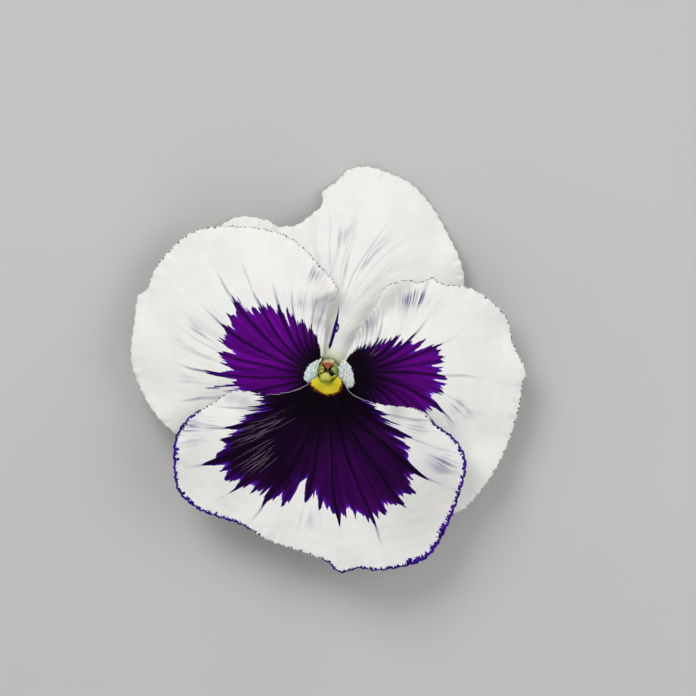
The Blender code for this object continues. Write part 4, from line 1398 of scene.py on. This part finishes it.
def anther(direction, ripe, lime, flare, lean):
    """One anther: a broad pale body against its neighbours, with an orange tip that leans inward."""
    points, runs = [], []
    middle = math.radians(direction)
    for row in range(ANTHER_ROWS + 1):
        share = row / ANTHER_ROWS
        height = ANTHER_FOOT + (ANTHER_TIP - ANTHER_FOOT) * share
        tip = max(0.0, (height - ANTHER_SHOULDER) / (ANTHER_TIP - ANTHER_SHOULDER))
        half = math.pi / len(ANTHERS) * 0.97 * math.sqrt(max(1 - tip**3, 0.0004))
        for column in range(ANTHER_COLUMNS + 1):
            side = 2 * column / ANTHER_COLUMNS - 1
            angle = middle + half * side
            sacs = ANTHER_BULGE * abs(math.sin(math.pi * side)) * (1 - tip)
            radius = ANTHER_RADIUS - ANTHER_TAPER * share**2.2 + sacs - 0.3 * tip**2
            radius += flare * share**2 - lean * tip
            x, y = ANTHER_AXIS + (column_axis(height) - CENTRE) * ANTHER_LEAN
            points.append((x + radius * math.cos(angle), y + radius * math.sin(angle), height))
            runs.append(share)
    faces = grid_faces(ANTHER_ROWS + 1, ANTHER_COLUMNS + 1)
    values = {"run": runs, "pale": [ripe] * len(runs), "side": [lime] * len(runs)}
    return two_faced(points, faces, ANTHER_THICKNESS, values)[:3]


def shade_speck(x, y, surface):
    """A dark bead that sits on an anther: painted shade for a gap between the anther tips."""
    foot = surface.find_nearest(Vector((x, y, ANTHER_TIP)))[0]
    angles = np.radians(np.arange(15, 180, 30))
    path = [(foot.x, foot.y, foot.z + SHADE_SPECK_RADIUS * (0.3 - math.cos(angle))) for angle in angles]
    points, faces = sweep(path, SHADE_SPECK_RADIUS * np.sin(angles), 8, (0, 1, 0))
    count = len(points)
    return points, faces, {"run": np.full(count, 2.0), "pale": np.zeros(count), "side": np.zeros(count)}


def make_stamens(material):
    parts = [anther(direction, *kind) for direction, kind in ANTHERS.items()]
    points, faces, _ = join(parts)
    surface = BVHTree.FromPolygons([Vector(p) for p in points], faces)
    points, faces, values = join([*parts, *(shade_speck(x, y, surface) for x, y in SHADE_SPECKS)])
    return make_piece("stamens_fine", points, faces, [material], "stamens", values)


# Sepals and stalk


def make_sepal(name, direction, tip_radius, tip_height, material):
    """A lance-shaped sepal with a keel, ribs, a pale thin margin and a toothed auricle."""
    bend_radius, bend_height = SEPAL_BACK[-1]
    half_way = ((bend_radius + tip_radius) / 2, (bend_height + tip_height) / 2 + SEPAL_ARCH)
    profile = smooth_line([*SEPAL_BACK, half_way, (tip_radius, tip_height)], SEPAL_STEP)
    run = travelled(profile)
    shares = run / run[-1]
    half_widths = np.interp(shares, SEPAL_SHARES, SEPAL_HALF_WIDTHS)
    turn = math.radians(direction)
    outward = np.array([math.cos(turn), math.sin(turn)])
    across = np.array([-outward[1], outward[0]])
    points, thickness, values = [], [], {"run": [], "side": [], "pale": []}
    for (radius, height), half, length, share in zip(profile, half_widths, run, shares):
        teeth = 0.16 * math.sin(length * 5.2) * max(0.0, 1 - share / 0.16)
        for side in np.linspace(-1, 1, SEPAL_COLUMNS + 1):
            wide = half * side * (1 + teeth * abs(side))
            plan = CENTRE + outward * radius + across * wide
            points.append((*plan, height + SEPAL_CUPPING * half * side**2))
            keel = SEPAL_KEEL * math.exp(-((wide / 0.28) ** 2)) * min(1.0, half)
            ribs = SEPAL_RIB * math.exp(-(((abs(side) - 0.45) / 0.09) ** 2))
            edge = smooth_step((1 - abs(side)) / 0.35)
            thickness.append(SEPAL_EDGE + (SEPAL_THICKNESS - SEPAL_EDGE) * edge + keel + ribs)
            values["run"].append(length)
            values["side"].append(wide)
            values["pale"].append(0.75 * smooth_step((abs(side) - 0.82) / 0.18) + 0.3 * (ribs > 0.03))
    faces = grid_faces(len(profile), SEPAL_COLUMNS + 1)
    points, faces, values, _ = two_faced(points, faces, np.array(thickness), values)
    return make_piece(name + "_blade", points, faces, [material], name, values)


def bracteole(root, tip):
    """A tiny pointed scale leaf, clasping the stalk at its foot."""
    axis = np.array(tip) - np.array(root)
    length = np.linalg.norm(axis)
    axis /= length
    side = np.cross(axis, (0, 0, 1))
    side /= np.linalg.norm(side)
    points, runs, sides = [], [], []
    for share in np.linspace(0, 1, BRACTEOLE_ROWS):
        half = BRACTEOLE_HALF_WIDTH * (1 - share**1.7) + 0.02
        for across in np.linspace(-1, 1, BRACTEOLE_COLUMNS + 1):
            cupping = BRACTEOLE_CUPPING * half * (1 - across**2)
            up = (0, 0, BRACTEOLE_ARCH * math.sin(math.pi * share) - cupping)
            points.append(np.array(root) + axis * length * share + side * half * across + up)
            runs.append(length * share)
            sides.append(half * across)
    faces = grid_faces(BRACTEOLE_ROWS, BRACTEOLE_COLUMNS + 1)
    values = {"run": runs, "side": sides, "pale": [BRACTEOLE_PALENESS] * len(runs)}
    return two_faced(points, faces, BRACTEOLE_THICKNESS, values)[:3]


def make_stalk(material):
    """Stalk with ridges along it, its slanting cut, the receptacle, and two bracteoles."""
    line = [(x, y, STALK_LEVEL) for x, y in smooth_line(STALK_ON_TABLE, STALK_STEP)]
    hook = smooth_line([line[-1], *STALK_HOOK, (*CENTRE, NECK[0][0])], STALK_STEP)[1:-1]
    stem = [*line, *hook]
    path = np.array([*stem, *((*CENTRE, height) for height, _ in NECK)])
    run = travelled(path)
    radii = [STALK_RADIUS] * len(stem) + [radius for _, radius in NECK]
    points, faces = sweep(path, radii, STALK_SIDES, slant=CUT_SLANT, ridge=STALK_RIDGE, ridges=STALK_RIDGES)
    turns = np.tile(np.arange(STALK_SIDES) * 2 * math.pi * STALK_RADIUS / STALK_SIDES, len(path))
    pale = np.repeat(np.clip(1 - run / 1.5, 0, 1) * 0.6, STALK_SIDES)
    parts = [(points, faces, {"run": np.repeat(run, STALK_SIDES), "side": turns, "pale": pale})]
    for y, side in BRACTEOLES:
        x, y, _ = min(line, key=lambda place: abs(place[1] - y))
        root = Vector((x + side * STALK_RADIUS * 0.8, y, STALK_LEVEL))
        away, ahead, rise = BRACTEOLE_LEAN
        tip = root + Vector((side * away, ahead, rise)).normalized() * BRACTEOLE_LENGTH
        parts.append(bracteole(root, tip))
    points, faces, values = join(parts)
    return make_piece("stalk_fine", points, faces, [material], "stalk", values)


# Floor, light and camera


def make_floor():
    finish = Finish("floor_pale", 0.8, specular=0.2)
    finish.paint((196, 197, 194), (finish.mottle(18.0, 4.0), (203, 203, 200)))
    half = FLOOR_SIZE / 2 * MM
    mesh = bpy.data.meshes.new("floor")
    corners = [(-half, -half, 0), (half, -half, 0), (half, half, 0), (-half, half, 0)]
    mesh.from_pydata(corners, [], [(0, 1, 2, 3)])
    mesh.materials.append(finish.material)
    put("floor", mesh)


def make_lamps():
    for name, (place, size, power) in LAMPS.items():
        lamp = bpy.data.lights.new(name, "AREA")
        lamp.shape = "DISK"
        lamp.size = size * MM
        lamp.energy = power
        lit = put(name, lamp)
        lit.location = Vector(place) * MM
        lit.rotation_euler = Vector(place).to_track_quat("Z", "Y").to_euler()
    world = bpy.data.worlds.new("studio")
    world.use_nodes = True
    background = world.node_tree.nodes["Background"]
    background.inputs["Color"].default_value = (0.98, 0.99, 1.0, 1.0)
    background.inputs["Strength"].default_value = WORLD_STRENGTH
    bpy.context.scene.world = world
    bpy.context.scene.view_settings.view_transform = "Standard"


def make_camera():
    data = bpy.data.cameras.new("camera")
    data.lens = CAMERA_LENS
    data.sensor_width = CAMERA_SENSOR
    camera = put("camera", data)
    camera.location = Vector(CAMERA_PLACE) * MM
    bpy.context.scene.camera = camera


def front_surface(piece):
    """A surface to find places on, in millimetres."""
    points = [vertex.co / MM for vertex in piece.data.vertices]
    return BVHTree.FromPolygons(points, [tuple(face.vertices) for face in piece.data.polygons])


def main():
    faces = [petal_front(), petal_back()]
    petals = {name: make_petal(name, petal, faces) for name, petal in PETALS.items()}
    beard = hair_white()
    surfaces = {name: front_surface(petals[name]) for name in ("petal_left", "petal_right", "petal_lower")}
    make_beard("beard_left", "petal_left", surfaces["petal_left"], beard)
    make_beard("beard_right", "petal_right", surfaces["petal_right"], beard)
    make_lying_hairs(surfaces, hair_grey())
    make_pistil(stigma_yellow())
    make_stamens(anther_orange())
    sepal_green = plant_green("sepal_green", (96, 132, 52), (70, 104, 40), (150, 172, 110))
    stalk_green = plant_green("stalk_green", (128, 156, 80), (96, 128, 58), (186, 198, 148))
    for name, shape in SEPALS.items():
        make_sepal(name, *shape, sepal_green)
    make_stalk(stalk_green)
    make_floor()
    make_lamps()
    make_camera()


main()
